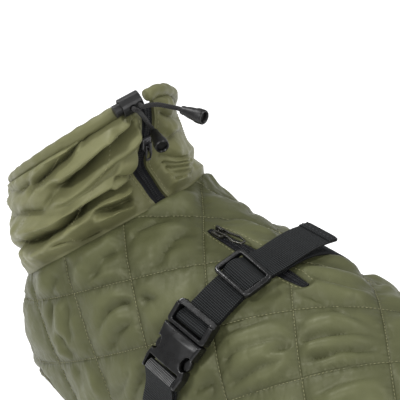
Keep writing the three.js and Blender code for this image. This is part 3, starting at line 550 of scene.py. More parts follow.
def sweep(origins: Array, across: Array, out: Array, sections: Array,
          closed: bool) -> tuple[Array, list[list[int]]]:
    """A section carried along a line.

    Args:
        origins: Points of the line.
        across: First direction of the section at each point.
        out: Second direction.
        sections: For each point, the ring as distances across and out.
        closed: True where the line runs into itself.

    Returns:
        Points and faces.
    """
    count, sides = sections.shape[:2]
    points = (origins[:, None] + across[:, None] * sections[..., :1]
              + out[:, None] * sections[..., 1:])
    i, k = np.meshgrid(np.arange(count if closed else count - 1), np.arange(sides), indexing="ij")
    nxt, side = (i + 1) % count, (k + 1) % sides
    faces = np.stack([i * sides + k, nxt * sides + k, nxt * sides + side, i * sides + side],
                     -1).reshape(-1, 4).tolist()
    if not closed:
        faces.append(list(range(sides)))
        faces.append(list(range(count * sides - 1, (count - 1) * sides - 1, -1)))
    return points.reshape(-1, 3), faces


def ring(radius_a: float, radius_b: float, sides: int) -> Array:
    """An ellipse as pairs of distances."""
    turn = corners(sides)
    return np.stack([radius_a * np.cos(turn), radius_b * np.sin(turn)], -1)


class Ground:
    """A finished surface that trim is laid on."""

    def __init__(self, thing: bpy.types.Object) -> None:
        """Keeps a search tree of the object's faces."""
        points = [v.co / MM for v in thing.data.vertices]
        self.tree = BVHTree.FromPolygons(points, [list(p.vertices) for p in thing.data.polygons])

    def line(self, station: Array, angle: Array, lift: float, reach: float = 9.0,
             start: float = 0.0) -> tuple[Array, Array]:
        """A line laid on the surface over places of the form.

        Args:
            station: Stations of the places.
            angle: Their angles.
            lift: Height of the line above the surface.
            reach: How far above and below the places the surface is looked for.
            start: Height of the places above the form.

        Returns:
            The line's points and their outward directions.
        """
        points, up = FORM.line(station, angle, start)
        laid = []
        for p, n in zip(points, up):
            way = Vector(n)
            hit = self.tree.ray_cast(Vector(p) + way * reach, -way, 2 * reach)[0]
            laid.append((hit if hit is not None else Vector(p)) + way * lift)
        return np.array([tuple(p) for p in laid]), up


# --------------------------------------------------------------------------- rows of small pieces


def row_tree() -> bpy.types.NodeTree:
    """The tree that sets small grains along lines, with the inputs Pitch, Size and Finish."""
    name = "row of grains"
    if name in bpy.data.node_groups:
        return bpy.data.node_groups[name]
    tree = bpy.data.node_groups.new(name, "GeometryNodeTree")
    for label, way, kind in (("Lines", "INPUT", "Geometry"), ("Pitch", "INPUT", "Float"),
                             ("Size", "INPUT", "Vector"), ("Finish", "INPUT", "Material"),
                             ("Row", "OUTPUT", "Geometry")):
        tree.interface.new_socket(label, in_out=way, socket_type=f"NodeSocket{kind}")

    def add(kind: str, values: dict[str, object] | None = None,
            **settings: object) -> bpy.types.Node:
        """A new node with its plain inputs and its settings."""
        node = tree.nodes.new(kind)
        for key, value in settings.items():
            setattr(node, key, value)
        for key, value in (values or {}).items():
            node.inputs[key].default_value = value
        return node

    start, end = add("NodeGroupInput"), add("NodeGroupOutput")
    curve = add("GeometryNodeMeshToCurve")
    even = add("GeometryNodeResampleCurve", mode="LENGTH")
    piece = add("GeometryNodeMeshUVSphere", {"Segments": 7, "Rings": 5, "Radius": 0.5})
    up = add("GeometryNodeInputNamedAttribute", {"Name": "up"}, data_type="FLOAT_VECTOR")
    tangent = add("GeometryNodeInputTangent")
    stand = add("FunctionNodeAlignRotationToVector", axis="Z")
    turn = add("FunctionNodeAlignRotationToVector", axis="X", pivot_axis="Z")
    place = add("GeometryNodeInstanceOnPoints")
    real = add("GeometryNodeRealizeInstances")
    paint = add("GeometryNodeSetMaterial")
    for source, output, target, entry in (
            (start, "Lines", curve, "Mesh"), (curve, "Curve", even, "Curve"),
            (start, "Pitch", even, "Length"), (even, "Curve", place, "Points"),
            (piece, "Mesh", place, "Instance"), (up, "Attribute", stand, "Vector"),
            (stand, "Rotation", turn, "Rotation"), (tangent, "Tangent", turn, "Vector"),
            (turn, "Rotation", place, "Rotation"), (start, "Size", place, "Scale"),
            (place, "Instances", real, "Geometry"), (real, "Geometry", paint, "Geometry"),
            (start, "Finish", paint, "Material"), (paint, "Geometry", end, "Row")):
        tree.links.new(source.outputs[output], target.inputs[entry])
    return tree


def run_rows(name: str, lines: Sequence[tuple[Array, Array]], pitch: float,
             size: tuple[float, float, float],
             material: bpy.types.Material) -> bpy.types.Object:
    """Small pieces set along lines, as one plain mesh.

    Args:
        name: Name of the result.
        lines: For each line its points and their outward directions.
        pitch: Distance between pieces.
        size: Size of a piece along, across and out.
        material: Its finish.

    Returns:
        The mesh object, with no modifier.
    """
    points, edges, ups, at = [], [], [], 0
    for line, up in lines:
        points.append(line)
        ups.append(np.broadcast_to(up, line.shape))
        edges += [(at + i, at + i + 1) for i in range(len(line) - 1)]
        at += len(line)
    mesh = bpy.data.meshes.new(name)
    mesh.from_pydata((np.concatenate(points) * MM).tolist(), edges, [])
    vectors(mesh, "up", np.concatenate(ups))
    source = put(name + " lines", mesh)
    modifier = source.modifiers.new("row", "NODES")
    tree = row_tree()
    modifier.node_group = tree
    sockets = {s.name: s.identifier for s in tree.interface.items_tree if s.in_out == "INPUT"}
    modifier[sockets["Pitch"]] = pitch * MM
    modifier[sockets["Size"]] = [v * MM for v in size]
    modifier[sockets["Finish"]] = material
    result = settled(source)
    result.name = name
    shade_smooth(result)
    return put(name, result)


# --------------------------------------------------------------------------- finishes


class Nodes:
    """Short calls for building a material's nodes."""

    def __init__(self, name: str) -> None:
        """Starts a material with its principled shader."""
        self.material = bpy.data.materials.new(name)
        self.material.use_nodes = True
        self.tree = self.material.node_tree
        self.shader = self.tree.nodes["Principled BSDF"]

    def add(self, kind: str, **settings: object) -> bpy.types.Node:
        """A new node with its settings."""
        node = self.tree.nodes.new(kind)
        for key, value in settings.items():
            setattr(node, key, value)
        return node

    def feed(self, socket: bpy.types.NodeSocket, value: object) -> None:
        """Links or sets a socket."""
        if isinstance(value, bpy.types.NodeSocket):
            self.tree.links.new(value, socket)
        else:
            socket.default_value = value

    def math(self, operation: str, *values: object) -> bpy.types.NodeSocket:
        """A sum over numbers or sockets."""
        node = self.add("ShaderNodeMath", operation=operation)
        for socket, value in zip(node.inputs, values):
            self.feed(socket, value)
        return node.outputs[0]

    def cloth(self) -> tuple[bpy.types.NodeSocket, ...]:
        """The cloth's own coordinates, in millimetres, as a vector and its three numbers; on the
        nylon the third number is the cloth's height, which sets its painted shade and highlight.
        """
        read = self.add("ShaderNodeAttribute", attribute_name="cloth")
        parts = self.add("ShaderNodeSeparateXYZ")
        self.feed(parts.inputs[0], read.outputs["Vector"])
        flat = self.add("ShaderNodeCombineXYZ")
        for i in (0, 1):
            self.feed(flat.inputs[i], parts.outputs[i])
        return (flat.outputs[0], *parts.outputs)

    def place(self) -> bpy.types.NodeSocket:
        """Object coordinates."""
        return self.add("ShaderNodeTexCoord").outputs["Object"]

    def noise(self, vector: bpy.types.NodeSocket, scale: float, detail: float = 2.0,
              stretch: tuple[float, float, float] = (1, 1, 1),
              slant: float = 0.0) -> bpy.types.NodeSocket:
        """Noise on coordinates turned by a slant and stretched."""
        mapping = self.add("ShaderNodeMapping", vector_type="TEXTURE")
        mapping.inputs["Rotation"].default_value = (0, 0, slant)
        mapping.inputs["Scale"].default_value = tuple(1 / s for s in stretch)
        self.feed(mapping.inputs["Vector"], vector)
        node = self.add("ShaderNodeTexNoise")
        self.feed(node.inputs["Vector"], mapping.outputs[0])
        node.inputs["Scale"].default_value = scale
        node.inputs["Detail"].default_value = detail
        return node.outputs["Fac"]

    def ramp(self, value: bpy.types.NodeSocket, low: float, high: float,
             to_low: float = 0.0, to_high: float = 1.0) -> bpy.types.NodeSocket:
        """A soft rise between two values."""
        node = self.add("ShaderNodeMapRange", interpolation_type="SMOOTHSTEP")
        for socket, item in zip(node.inputs, (value, low, high, to_low, to_high)):
            self.feed(socket, item)
        return node.outputs[0]

    def shade(self, colour: tuple[float, float, float],
              factor: bpy.types.NodeSocket) -> bpy.types.NodeSocket:
        """The colour made lighter or darker by a factor."""
        node = self.add("ShaderNodeVectorMath", operation="SCALE")
        node.inputs[0].default_value = colour
        self.feed(node.inputs["Scale"], factor)
        return node.outputs[0]

    def paint(self, code: int, factor: bpy.types.NodeSocket) -> None:
        """Gives the shader a screen colour made lighter or darker by a factor."""
        self.feed(self.shader.inputs["Base Color"], self.shade(tone(code), factor))

    def bump(self, height: bpy.types.NodeSocket, strength: float = 1.0) -> None:
        """Relief from a height in millimetres."""
        node = self.add("ShaderNodeBump")
        node.inputs["Strength"].default_value = strength
        node.inputs["Distance"].default_value = MM
        self.feed(node.inputs["Height"], height)
        self.feed(self.shader.inputs["Normal"], node.outputs[0])

    def settle(self, roughness: object, specular: float = 0.5, metallic: float = 0.0,
               sheen: float = 0.0) -> bpy.types.Material:
        """Sets the shader's plain values and gives the material."""
        self.feed(self.shader.inputs["Roughness"], roughness)
        self.shader.inputs["Specular IOR Level"].default_value = specular
        self.shader.inputs["Metallic"].default_value = metallic
        self.shader.inputs["Sheen Weight"].default_value = sheen
        self.shader.inputs["Sheen Roughness"].default_value = 0.5
        return self.material


def tone(code: int) -> tuple[float, float, float]:
    """A screen colour as linear light."""
    parts = [((code >> s) & 255) / 255 for s in (16, 8, 0)]
    return tuple(c / 12.92 if c <= 0.04045 else ((c + 0.055) / 1.055) ** 2.4 for c in parts)


@dataclass(frozen=True)
class Nylon:
    """Smooth woven nylon over padding, in olive."""

    name: str
    colour: int
    quilted: bool = False
    roughness: float = 0.48
    crumple: float = 0.28

    def material(self) -> bpy.types.Material:
        """Builds the finish: thread, crumple, painted shade in the folds and painted highlight on
        the crests, and the drawn-in seams where it is quilted, with painted shade along them.
        """
        n = Nodes(self.name)
        vector, x, arc, fold = n.cloth()
        warp = n.noise(vector, 1.0, 1.0, (2.6, 0.35, 1))
        weft = n.noise(vector, 1.0, 1.0, (0.35, 2.6, 1))
        crumple = n.noise(vector, 0.085, 3.0)
        fine = n.noise(vector, 0.3, 2.0)
        height = n.math("MULTIPLY", n.math("ADD", warp, weft), 0.035)
        height = n.math("MULTIPLY_ADD", crumple, self.crumple * 0.8, height)
        height = n.math("MULTIPLY_ADD", fine, self.crumple * 0.5, height)
        for way, slant, deep in (((0.018, 0.07, 1), 0.9, 1.5), ((0.06, 0.022, 1), 0.2, 1.0),
                                 ((0.13, 0.05, 1), 2.2, 0.3)):
            drift = n.noise(vector, 1.0, 1.0, way, slant)
            facet = n.math("ABSOLUTE", n.math("SUBTRACT", drift, 0.5))
            height = n.math("MULTIPLY_ADD", facet, deep * self.crumple * 3.6, height)
        # Random tone from the crumple noise, times painted shade and highlight: darker in the
        # cloth's folds and valleys, lighter on its crests, from the height in the third number.
        value = n.math("MULTIPLY", n.ramp(crumple, 0.25, 0.75, 0.94, 1.05),
                       n.ramp(fold, -5.0, 5.0, 0.8, 1.16))
        if self.quilted:
            for way, pitch, start in ((1, QUILT.rising_pitch, QUILT.rising_at),
                                      (-1, QUILT.falling_pitch, QUILT.falling_at)):
                line = n.math("ADD", x, n.math("MULTIPLY", arc, way))
                other = n.math("SUBTRACT", x, n.math("MULTIPLY", arc, way))
                turns = n.math("DIVIDE", n.math("SUBTRACT", line, start), pitch)
                off = n.math("ABSOLUTE", n.math("SUBTRACT", turns, n.math("ROUND", turns)))
                distance = n.math("MULTIPLY", off, pitch * 0.7071)
                near = n.ramp(distance, 0.6, 7.5, 1.0, 0.0)
                phase = n.math("MULTIPLY_ADD", crumple, 14.0, n.math("MULTIPLY", other, 1.05))
                wave = n.math("MULTIPLY", n.math("SINE", phase), near)
                height = n.math("MULTIPLY_ADD", wave, 0.06, height)
                groove = n.ramp(distance, 0.0, 1.3, -0.4, 0.0)
                height = n.math("ADD", height, groove)
                # Painted shade: darker within about 2 mm of each seam line, in its groove.
                value = n.math("MULTIPLY", value, n.ramp(distance, 0.2, 2.2, 0.9, 1.0))
        n.paint(self.colour, value)
        n.bump(height, 0.9)
        rough = n.ramp(fine, 0.2, 0.8, self.roughness - 0.05, self.roughness + 0.07)
        n.shader.inputs["Specular Tint"].default_value = (0.88, 0.87, 0.68, 1)
        return n.settle(rough, specular=0.37)


@dataclass(frozen=True)
class Woven:
    """Ribbed or twilled narrow goods: webbing, zip tape and bindings."""

    name: str
    colour: int
    rib: float
    cross: float
    depth: float = 0.12
    contrast: float = 0.2
    roughness: float = 0.75
    twill: bool = False

    def material(self) -> bpy.types.Material:
        """Builds the finish: ribs one way and yarns the other, with painted shade in the hollows
        and painted highlight on the raised ribs.
        """
        n = Nodes(self.name)
        vector, along, across, _ = n.cloth()
        if self.twill:
            along = n.math("ADD", along, n.math("MULTIPLY", across, 0.6))
        rib, yarn = (n.math("ABSOLUTE", n.math("SINE", n.math("MULTIPLY", way, math.pi / pitch)))
                     for way, pitch in ((along, self.rib), (across, self.cross)))
        fuzz = n.noise(vector, 2.2, 2.0)
        patch = n.noise(vector, 0.12, 2.0)
        height = n.math("MULTIPLY", n.math("ADD", rib, n.math("MULTIPLY", yarn, 0.7)), self.depth)
        height = n.math("MULTIPLY_ADD", fuzz, self.depth * 0.5, height)
        # Painted shade and highlight: darker in the hollows between ribs and yarns, lighter where
        # both are raised.
        rib_light_and_shade = n.ramp(n.math("MULTIPLY", rib, yarn), 0.1, 0.95,
                        1 - self.contrast, 1 + 2 * self.contrast)
        value = n.math("MULTIPLY", rib_light_and_shade, n.ramp(patch, 0.2, 0.8, 0.9, 1.12))
        n.paint(self.colour, value)
        n.bump(height)
        return n.settle(self.roughness, specular=0.3)


@dataclass(frozen=True)
class Moulding:
    """Moulded plastic or cast metal with a fine grain."""

    name: str
    colour: int
    roughness: float
    metallic: float = 0.0
    grain: float = 0.02

    def material(self) -> bpy.types.Material:
        """Builds the finish: fine grain and a little wear."""
        n = Nodes(self.name)
        vector = n.place()
        grain = n.noise(vector, 2600.0, 2.0)
        wear = n.noise(vector, 140.0, 3.0)
        n.paint(self.colour, n.ramp(wear, 0.3, 0.75, 0.88, 1.15))
        n.bump(n.math("MULTIPLY", grain, self.grain))
        rough = n.ramp(wear, 0.25, 0.8, self.roughness - 0.05, self.roughness + 0.1)
        return n.settle(rough, specular=0.5, metallic=self.metallic)


@dataclass(frozen=True)
class Braid:
    """Braided cord."""

    name: str
    colour: int
    pitch: float = 1.5

    def material(self) -> bpy.types.Material:
        """Builds the finish: two crossing spirals of strands, with painted shade between the
        strands and painted highlight on their crests.
        """
        n = Nodes(self.name)
        _, along, turn, _ = n.cloth()
        both = []
        for way in (1, -1):
            phase = n.math("ADD", n.math("MULTIPLY", along, 2 * math.pi / self.pitch),
                           n.math("MULTIPLY", turn, 4.0 * way))
            both.append(n.math("SINE", phase))
        height = n.math("MAXIMUM", both[0], both[1])
        # Painted shade and highlight: darker between the strands, lighter on their crests.
        n.paint(self.colour, n.ramp(height, -0.4, 1.0, 0.6, 1.3))
        n.bump(n.math("MULTIPLY", height, 0.12))
        return n.settle(0.8, specular=0.35, sheen=0.1)


@dataclass(frozen=True)
class Palette:
    """Every finish on the coat."""

    shell: Nylon = Nylon("quilted nylon", 0x525439, quilted=True)
    # Painted light: the same olive nylon as the shell, given a lighter colour to stand in for the
    # light on the collar.
    collar: Nylon = Nylon("collar nylon painted lighter", 0x6B6B4B, crumple=0.34)
    binding: Nylon = Nylon("hem binding nylon", 0x4C4D3A, roughness=0.62, crumple=0.2)
    piping: Nylon = Nylon("reflective piping", 0xC6CACC, roughness=0.42, crumple=0.12)
    thread: Moulding = Moulding("olive thread", 0x858360, 0.6, grain=0.0)
    # Painted highlight: light grey ribs stand for the light caught by the black webbing where it
    # bends over the buckle's bar.
    rib: Moulding = Moulding("webbing rib highlights", 0x6E6E6E, 0.6, grain=0.0)
    dark_thread: Moulding = Moulding("black thread", 0x2A2B2F, 0.55, grain=0.0)
    webbing: Woven = Woven("strap webbing", 0x191B1C, rib=1.4, cross=1.25, depth=0.4, contrast=0.9)
    tape: Woven = Woven("zip tape", 0x0D0E12, rib=0.8, cross=0.9, depth=0.08, twill=True)
    teeth: Moulding = Moulding("zip teeth", 0x15161A, 0.35)
    plastic: Moulding = Moulding("black plastic", 0x0B0B0C, 0.3, grain=0.035)
    soft_plastic: Moulding = Moulding("cord end plastic", 0x080808, 0.42, grain=0.03)
    metal: Moulding = Moulding("worn nickel", 0x5F5E59, 0.27, metallic=0.92, grain=0.012)
    grey_metal: Moulding = Moulding("painted slider", 0x57575A, 0.32, metallic=0.55, grain=0.01)
    cord: Braid = Braid("draw cord braid", 0x1A1918)

    def make(self) -> Paint:
        """Every finish's material by its field name."""
        return {key: getattr(self, key).material() for key in self.__dataclass_fields__}


# --------------------------------------------------------------------------- shell


@dataclass
class Shell:
    """Quilted body: rings round neck and chest, then an open saddle over back and flanks."""

    neck: float = 77.0
    front_side: float = 132.0
    front_centre: float = 124.0
    front_corner: float = math.radians(115)
    chest_drop: float = 74.0
    slit_from: float = 112.0
    slit_to: float = 224.0
    slit_end: float = 2.0
    slit_middle: float = 6.2
    inside: float = -3.2
    grid: float = 1.95

    def hem_angle(self, station: Array | float) -> Array:
        """Angle from the spine to the side hem."""
        return np.radians(HEM.read("angle", station))

    def slit(self, station: Array | float) -> Array:
        """Half the width of the slit."""
        long = self.slit_to - self.slit_from
        t = np.clip((np.asarray(station, float) - self.slit_from) / long, 0, 1)
        return self.slit_end + (self.slit_middle - self.slit_end) * np.sin(np.pi * t) ** 0.6

    def front_edge(self, angle: Array | float) -> Array:
        """Station of the front hem under the chest."""
        past = (np.abs(angle) - self.front_corner) / (math.pi - self.front_corner)
        ease = (1 - np.clip(past, 0, 1)) ** 2
        return self.front_centre + (self.front_side - self.front_centre) * ease

    def rows(self) -> tuple[Array, int]:
        """Stations of the grid's rows and the number of the last full ring."""
        def cut(a: float, b: float) -> Array:
            """Even stations from one stop up to the next."""
            return np.linspace(a, b, max(2, int(round((b - a) / self.grid)) + 1))[:-1]
        stops = [self.neck, self.slit_from, self.front_side, self.slit_to, FORM.tail]
        parts = [cut(a, b) for a, b in zip(stops, stops[1:])]
        return np.concatenate([*parts, [FORM.tail]]), len(parts[0]) + len(parts[1])

    def build(self, paint: Paint) -> list[bpy.types.Object]:
        """Makes the body, its quilting stitches and the stitches along its edges."""
        stations, last_ring = self.rows()
        side = int(round(float(FORM.arc(self.front_side, self.front_corner)) / self.grid))
        chest = int(round(self.chest_drop * (math.pi - self.front_corner) / self.grid))
        part = np.linspace(0, 1, side + 1)
        corner, chest_part = self.front_corner, np.arange(1, chest + 1) / chest
        chest_angles = corner + (math.pi - corner) * chest_part
        angles, places = [], []
        for station in stations:
            slit = float(self.slit(station) / FORM.half(station))
            hem = float(self.hem_angle(max(station, self.front_side)))
            left = slit + (hem - slit) * part
            along = (station - self.neck) / (self.front_side - self.neck)
            low = np.concatenate([chest_angles, -chest_angles[:-1][::-1]])
            low_stations = self.neck + (self.front_edge(low) - self.neck) * min(along, 1)
            angles.append(np.concatenate([-left[::-1], [0.0], left, low]))
            places.append(np.concatenate([np.full(2 * side + 3, station), low_stations]))
        angle, place = np.array(angles), np.array(places)
        rows, columns = angle.shape
        saddle = 2 * side + 3
        cells = np.zeros((rows - 1, columns), bool)
        cells[:last_ring] = True
        cells[last_ring:, : saddle - 1] = True
        in_slit = (stations[:-1] >= self.slit_from - 0.5) & (stations[1:] <= self.slit_to + 0.5)
        cells[np.ix_(in_slit, [side, side + 1])] = False

        x = FORM.point(place, angle)[..., 0]
        arc = FORM.arc(place, angle)
        height = QUILT.height(x, arc) + self.gathers(place, angle, arc)
        edge = self.edge_ease(cells, rows, columns)
        height = QUILT.seam + (height - QUILT.seam) * edge
        outer = FORM.at(place, angle, height + FORM.flare(place, angle))
        inner = FORM.at(place, angle, self.inside)
        # Height of the cloth, kept as the third number of the cloth attribute; the nylon turns it
        # into painted shade in the valleys and painted highlight on the crests.
        fold = 1.8 * (height - 0.9) * edge
        body = cloth_wall("quilted_body", outer, inner, cells, np.stack([x, arc, fold], -1),
                          paint["shell"], wrap=True)
        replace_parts(body, "coat_body")
        return [body, *self.stitch(Ground(body), paint)]

    def gathers(self, station: Array, angle: Array, arc: Array) -> Array:
        """Small gathers that run down from the neck seam."""
        near = np.exp(-(station - self.neck) / 15)
        wave = np.sin(arc * 2 * math.pi / 15 + 2.2 * ripple(arc / 22, station / 40, 31.0))
        return 0.75 * wave * near * smooth(station, self.neck, self.neck + 5)

    def edge_ease(self, cells: Array, rows: int, columns: int) -> Array:
        """1 inside the cloth and 0 on its edges, rising over three rows of cells."""
        full = np.zeros((rows + 1, columns), bool)
        full[1:-1] = cells
        here = np.full((rows, columns), 4)
        for di in (0, 1):
            for dj in (0, 1):
                here = here - (~np.roll(full, dj, axis=1)[di:di + rows]).astype(int)
        inside = here == 4
        ease = np.zeros((rows, columns))
        level = inside.copy()
        for value in (0.62, 0.86, 1.0):
            ease[level] = value
            shrunk = level.copy()
            shrunk[1:] &= level[:-1]
            shrunk[:-1] &= level[1:]
            shrunk &= np.roll(level, 1, 1) & np.roll(level, -1, 1)
            level = shrunk
        return ease

    def on_body(self, x: Array, arc: Array) -> tuple[Array, Array, Array]:
        """Stations and angles of places given along the coat and round it.

        Args:
            x: Place along the coat.
            arc: Distance round from the spine.

        Returns:
            Station, angle, and whether the place is on the cloth.
        """
        station = np.clip(x + 185.0, self.neck, FORM.tail)
        angle = arc / FORM.half(station)
        for _ in range(14):
            angle = angle - (FORM.arc(station, angle) - arc) / FORM.half(station) * 0.8
            station = np.clip(station - (FORM.point(station, angle)[..., 0] - x) * 0.7,
                              self.neck - 3, FORM.tail + 3)
        wrong = np.abs(FORM.point(station, angle)[..., 0] - x)
        wrong = wrong + np.abs(FORM.arc(station, angle) - arc)
        low = np.where(station < self.front_edge(angle) - 2, math.pi,
                       self.hem_angle(np.maximum(station, self.front_side)))
        slit = (station > self.slit_from - 2) & (station < self.slit_to + 2)
        clear = ~slit | (np.abs(arc) > self.slit(station) + 1.5)
        keep = (wrong < 0.6) & (station > self.neck + 2) & (station < FORM.tail - 3)
        keep &= (np.abs(angle) * FORM.half(station) < low * FORM.half(station) - 3) & clear
        return station, angle, keep

    def stitch(self, ground: Ground, paint: Paint) -> list[bpy.types.Object]:
        """Quilting stitches and the rows beside the leash slit."""
        lines = []
        for line in QUILT.seams((-206.0, 326.0), (-210.0, 210.0)):
            station, angle, keep = self.on_body(line[:, 0], line[:, 1])
            for run in np.split(np.arange(len(line)), np.nonzero(np.diff(keep.astype(int)))[0] + 1):
                if len(run) > 4 and keep[run].all():
                    lines.append(ground.line(station[run], angle[run], 0.12, 7.0, QUILT.seam))
        seams = run_rows("quilting_stitches", lines, 2.5, (1.75, 0.44, 0.4), paint["thread"])
        station = np.arange(self.slit_from + 1, self.slit_to - 1, 2.0)
        beside = (self.slit(station) + 2.2) / FORM.half(station)
        edge = [ground.line(station, side * beside, 0.1, 7.0) for side in (-1, 1)]
        slit = run_rows("leash_slit_stitches", edge, 3.0, (2.3, 0.5, 0.42), paint["thread"])
        return [seams, slit]


# --------------------------------------------------------------------------- collar


@dataclass(frozen=True)
class Fold:
    """A roll or trough round the collar. Side 1 is the left."""

    side: int
    station: float
    drift: float
    height: float
    spread: float
    start: float
    end: float


# Stations and heights in millimetres, starts and ends in degrees from the spine.
FOLDS = tuple(Fold(*row) for row in (
    (1, 1, 16.5, -1.6, 3.6, 16, 112),
    (1, 12, 21, -1.6, 3.6, 10, 78),
    (1, 58, -34, -1, 3.2, 8, 34),
    (1, 52, 8, -1.8, 3.6, 8, 106),
    (1, 71, -12, -1, 3.2, 12, 50),
    (1, 30, 14, 3.8, 8, 8, 96),
    (1, 46, 0, 2.2, 7, 96, 176),
    (1, 64, 0, -2.4, 7, 96, 176),
    (-1, 55, 2, 4.6, 14, 12, 128),
    (-1, 17, 0, -3.4, 12, 20, 120),
    (-1, 22, 13, -1.2, 4, 60, 150),
    (-1, 30, 9, -1.4, 4, 92, 172),
))

# Degrees round the collar, left positive, and stations.
COLLAR_QUILTING = (
    ((62, 12), (73, 20), (83, 34), (92, 50), (100, 72)),
    ((26, 14), (31, 26), (40, 40), (47, 52), (56, 72)),
    ((-40, 16), (-48, 34), (-60, 52), (-70, 72)),
    ((-82, 14), (-92, 34), (-104, 54), (-112, 72)),
    ((118, 13), (130, 32), (141, 52), (152, 72)),
    ((-128, 13), (-138, 34), (-150, 54), (-160, 72)),
)


@dataclass
class Collar:
    """Scrunched tube collar with its rolled rim and centre-back zip."""

    neck: float = 77.0
    outside: float = 0.4
    inside: float = -3.2
    full: float = 2.2
    rim_radius: float = 4.2
    rim_lift: float = -1.4
    rim_dip: float = 11.0
    tape_half: float = 5.2
    tuck: float = 3.4
    over_tape: float = 5.0
    past_seam: float = 0.9
    under_rim: float = 2.4
    radius: float = 60.0
    rows: int = 88
    columns: int = 350

    def rim_station(self, angle: Array | float) -> Array:
        """Station of the rim's edge, lower on the right."""
        turn = wrapped(angle)
        return np.where(turn < 0, self.rim_dip * np.sin(turn) ** 2, 0.0)

    def zip_angle(self, station: Array | float, offset: float) -> Array:
        """Angle of the zip's line moved a distance to the left."""
        return (COLLAR_ZIP.read("left", station) + offset) / FORM.half(station)

    def folds(self, station: Array, angle: Array) -> Array:
        """Height of the rolls and troughs."""
        turn = wrapped(angle)
        degrees = np.degrees(np.abs(turn))
        total = np.zeros(station.shape)
        for fold in FOLDS:
            centre = fold.station + fold.drift * np.abs(turn)
            reach = smooth(degrees, fold.start, fold.start + 8)
            reach = reach * (1 - smooth(degrees, fold.end - 12, fold.end))
            hit = fold.height * reach * np.exp(-((station - centre) / fold.spread) ** 2)
            total += np.where(fold.side * turn > 0, hit, 0)
        return total

    def creases(self, station: Array, angle: Array) -> Array:
        """Fine creases that run round the rolls, and gathers at the neck seam and the rim."""
        round_mm = angle * self.radius
        turn = np.degrees(wrapped(angle))
        fine = COLLAR_CREASES.height(turn, station) + COLLAR_CREASES.height(turn + 360, station)
        fine = fine * (1 - 0.55 * smooth(np.abs(turn), 76, 112))
        for slant, seed, deep in ((0.3, 40.0, 0.5), (-0.25, 44.0, 0.35)):
            drift = ripple(round_mm / 40, (station + slant * round_mm) / 12, seed)
            fine += deep * (np.sqrt(drift ** 2 + 0.005) - 0.42)
        fine += 0.4 * ripple(round_mm / 30, station / 20, 51.0)
        low, top = (np.sin(round_mm * 2 * math.pi / pitch
                           + much * ripple(round_mm / cell, station / 30, seed))
                    for pitch, much, cell, seed in ((13, 3.2, 25, 53.0), (10, 2.6, 18, 57.0)))
        fine += 0.7 * low * np.exp(-((self.neck - station) / 11) ** 2)
        calm = smooth(-turn, 18, 34) * (1 - smooth(-turn, 62, 84))
        fine = fine - 0.55 * calm * (fine - 0.3)
        under_rim = np.exp(-((station - self.rim_station(angle) - 8) / 6) ** 2)
        fine += 0.55 * (1 - calm) * top * under_rim
        return fine

    def build(self, paint: Paint) -> list[bpy.types.Object]:
        """Makes the collar wall, its rim and its stitches."""
        edge = self.tape_half + GAP
        part = np.linspace(0, 1, self.columns + 1)

        def round_from_zip(station: Array | float) -> Array:
            """Angles from one side of the zip round to the other."""
            start = self.zip_angle(station, edge)
            end = 2 * math.pi + self.zip_angle(station, -edge)
            return start + (end - start) * part

        first = round_from_zip(0.0)
        top = self.rim_station(first) + FORM.stations_for(
            self.rim_radius, first, 2 * self.rim_radius - self.tuck)
        down = np.linspace(0, 1, self.rows + 1)[:, None]
        station = top + (self.neck + self.past_seam - top) * down
        angle = round_from_zip(station)
        at_zip = smooth(part, 0, 0.018) * (1 - smooth(part, 0.982, 1))
        open_part = at_zip * smooth(self.neck - station, 0, 7)
        body = self.folds(station, angle) + self.full + self.creases(station, angle)
        lift = self.outside + body * open_part
        lift = lift - 1.0 * (1 - smooth(self.neck - station, -self.past_seam, 2.2))
        under = smooth(station - top, 0, 4.5)
        lift = (lift + self.under_rim) * under - self.under_rim
        outer = FORM.at(station, angle, lift + FORM.flare(station, angle))
        inner = FORM.at(station, angle, np.minimum(self.inside, lift - 1.7))
        # The third number is the collar's height, which the nylon turns into painted shade in the
        # troughs and painted highlight on the rolls.
        collar = cloth_wall("scrunched_collar", outer, inner,
                            np.ones((self.rows, self.columns), bool),
                            np.stack([station, angle * 62, lift - 2.6], -1), paint["collar"])
        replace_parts(collar, "collar")
        return [collar, self.rim(paint), *self.stitch(Ground(collar), paint)]

    def rim(self, paint: Paint) -> bpy.types.Object:
        """The rolled rim with the small gathers of its draw cord."""
        edge = self.tape_half + GAP
        count = 420
        start = float(self.zip_angle(self.rim_radius, edge))
        end = 2 * math.pi + float(self.zip_angle(self.rim_radius, self.over_tape - edge))
        angle = np.linspace(start, end, count)
        station = self.rim_station(angle)
        station = station + FORM.stations_for(self.rim_radius, angle, self.rim_radius)
        out = FORM.normal(station, angle)
        tangent = unit(FORM.point(station, angle + 0.02) - FORM.point(station, angle - 0.02))
        across = unit(np.cross(tangent, out))
        turn = corners(18)
        around = (angle * 55)[:, None]
        slant = around + 2.5 * np.sin(turn)
        radius = self.rim_radius * (0.98 + 0.05 * np.sin(
            slant * 2 * math.pi / 11.0 + 2.0 * ripple(around / 16, turn * 0.4, 61.0)))
        radius = radius + 0.45 * ripple(around / 13, turn * 0.9, 63.0)
        sections = np.stack([radius * np.cos(turn), radius * np.sin(turn) * 0.98], -1)
        for k, scale in enumerate((0.72, 0.9, 0.97)):
            for end in (k, -1 - k):
                sections[end] *= scale
        points, faces = sweep(FORM.at(station, angle, self.rim_lift), across, out, sections, False)
        flat = pairs(around, (turn * self.rim_radius)[None])
        rim = make_object("rolled_rim", points, faces, paint["collar"], flat, 70)
        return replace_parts(rim, "collar_rim")

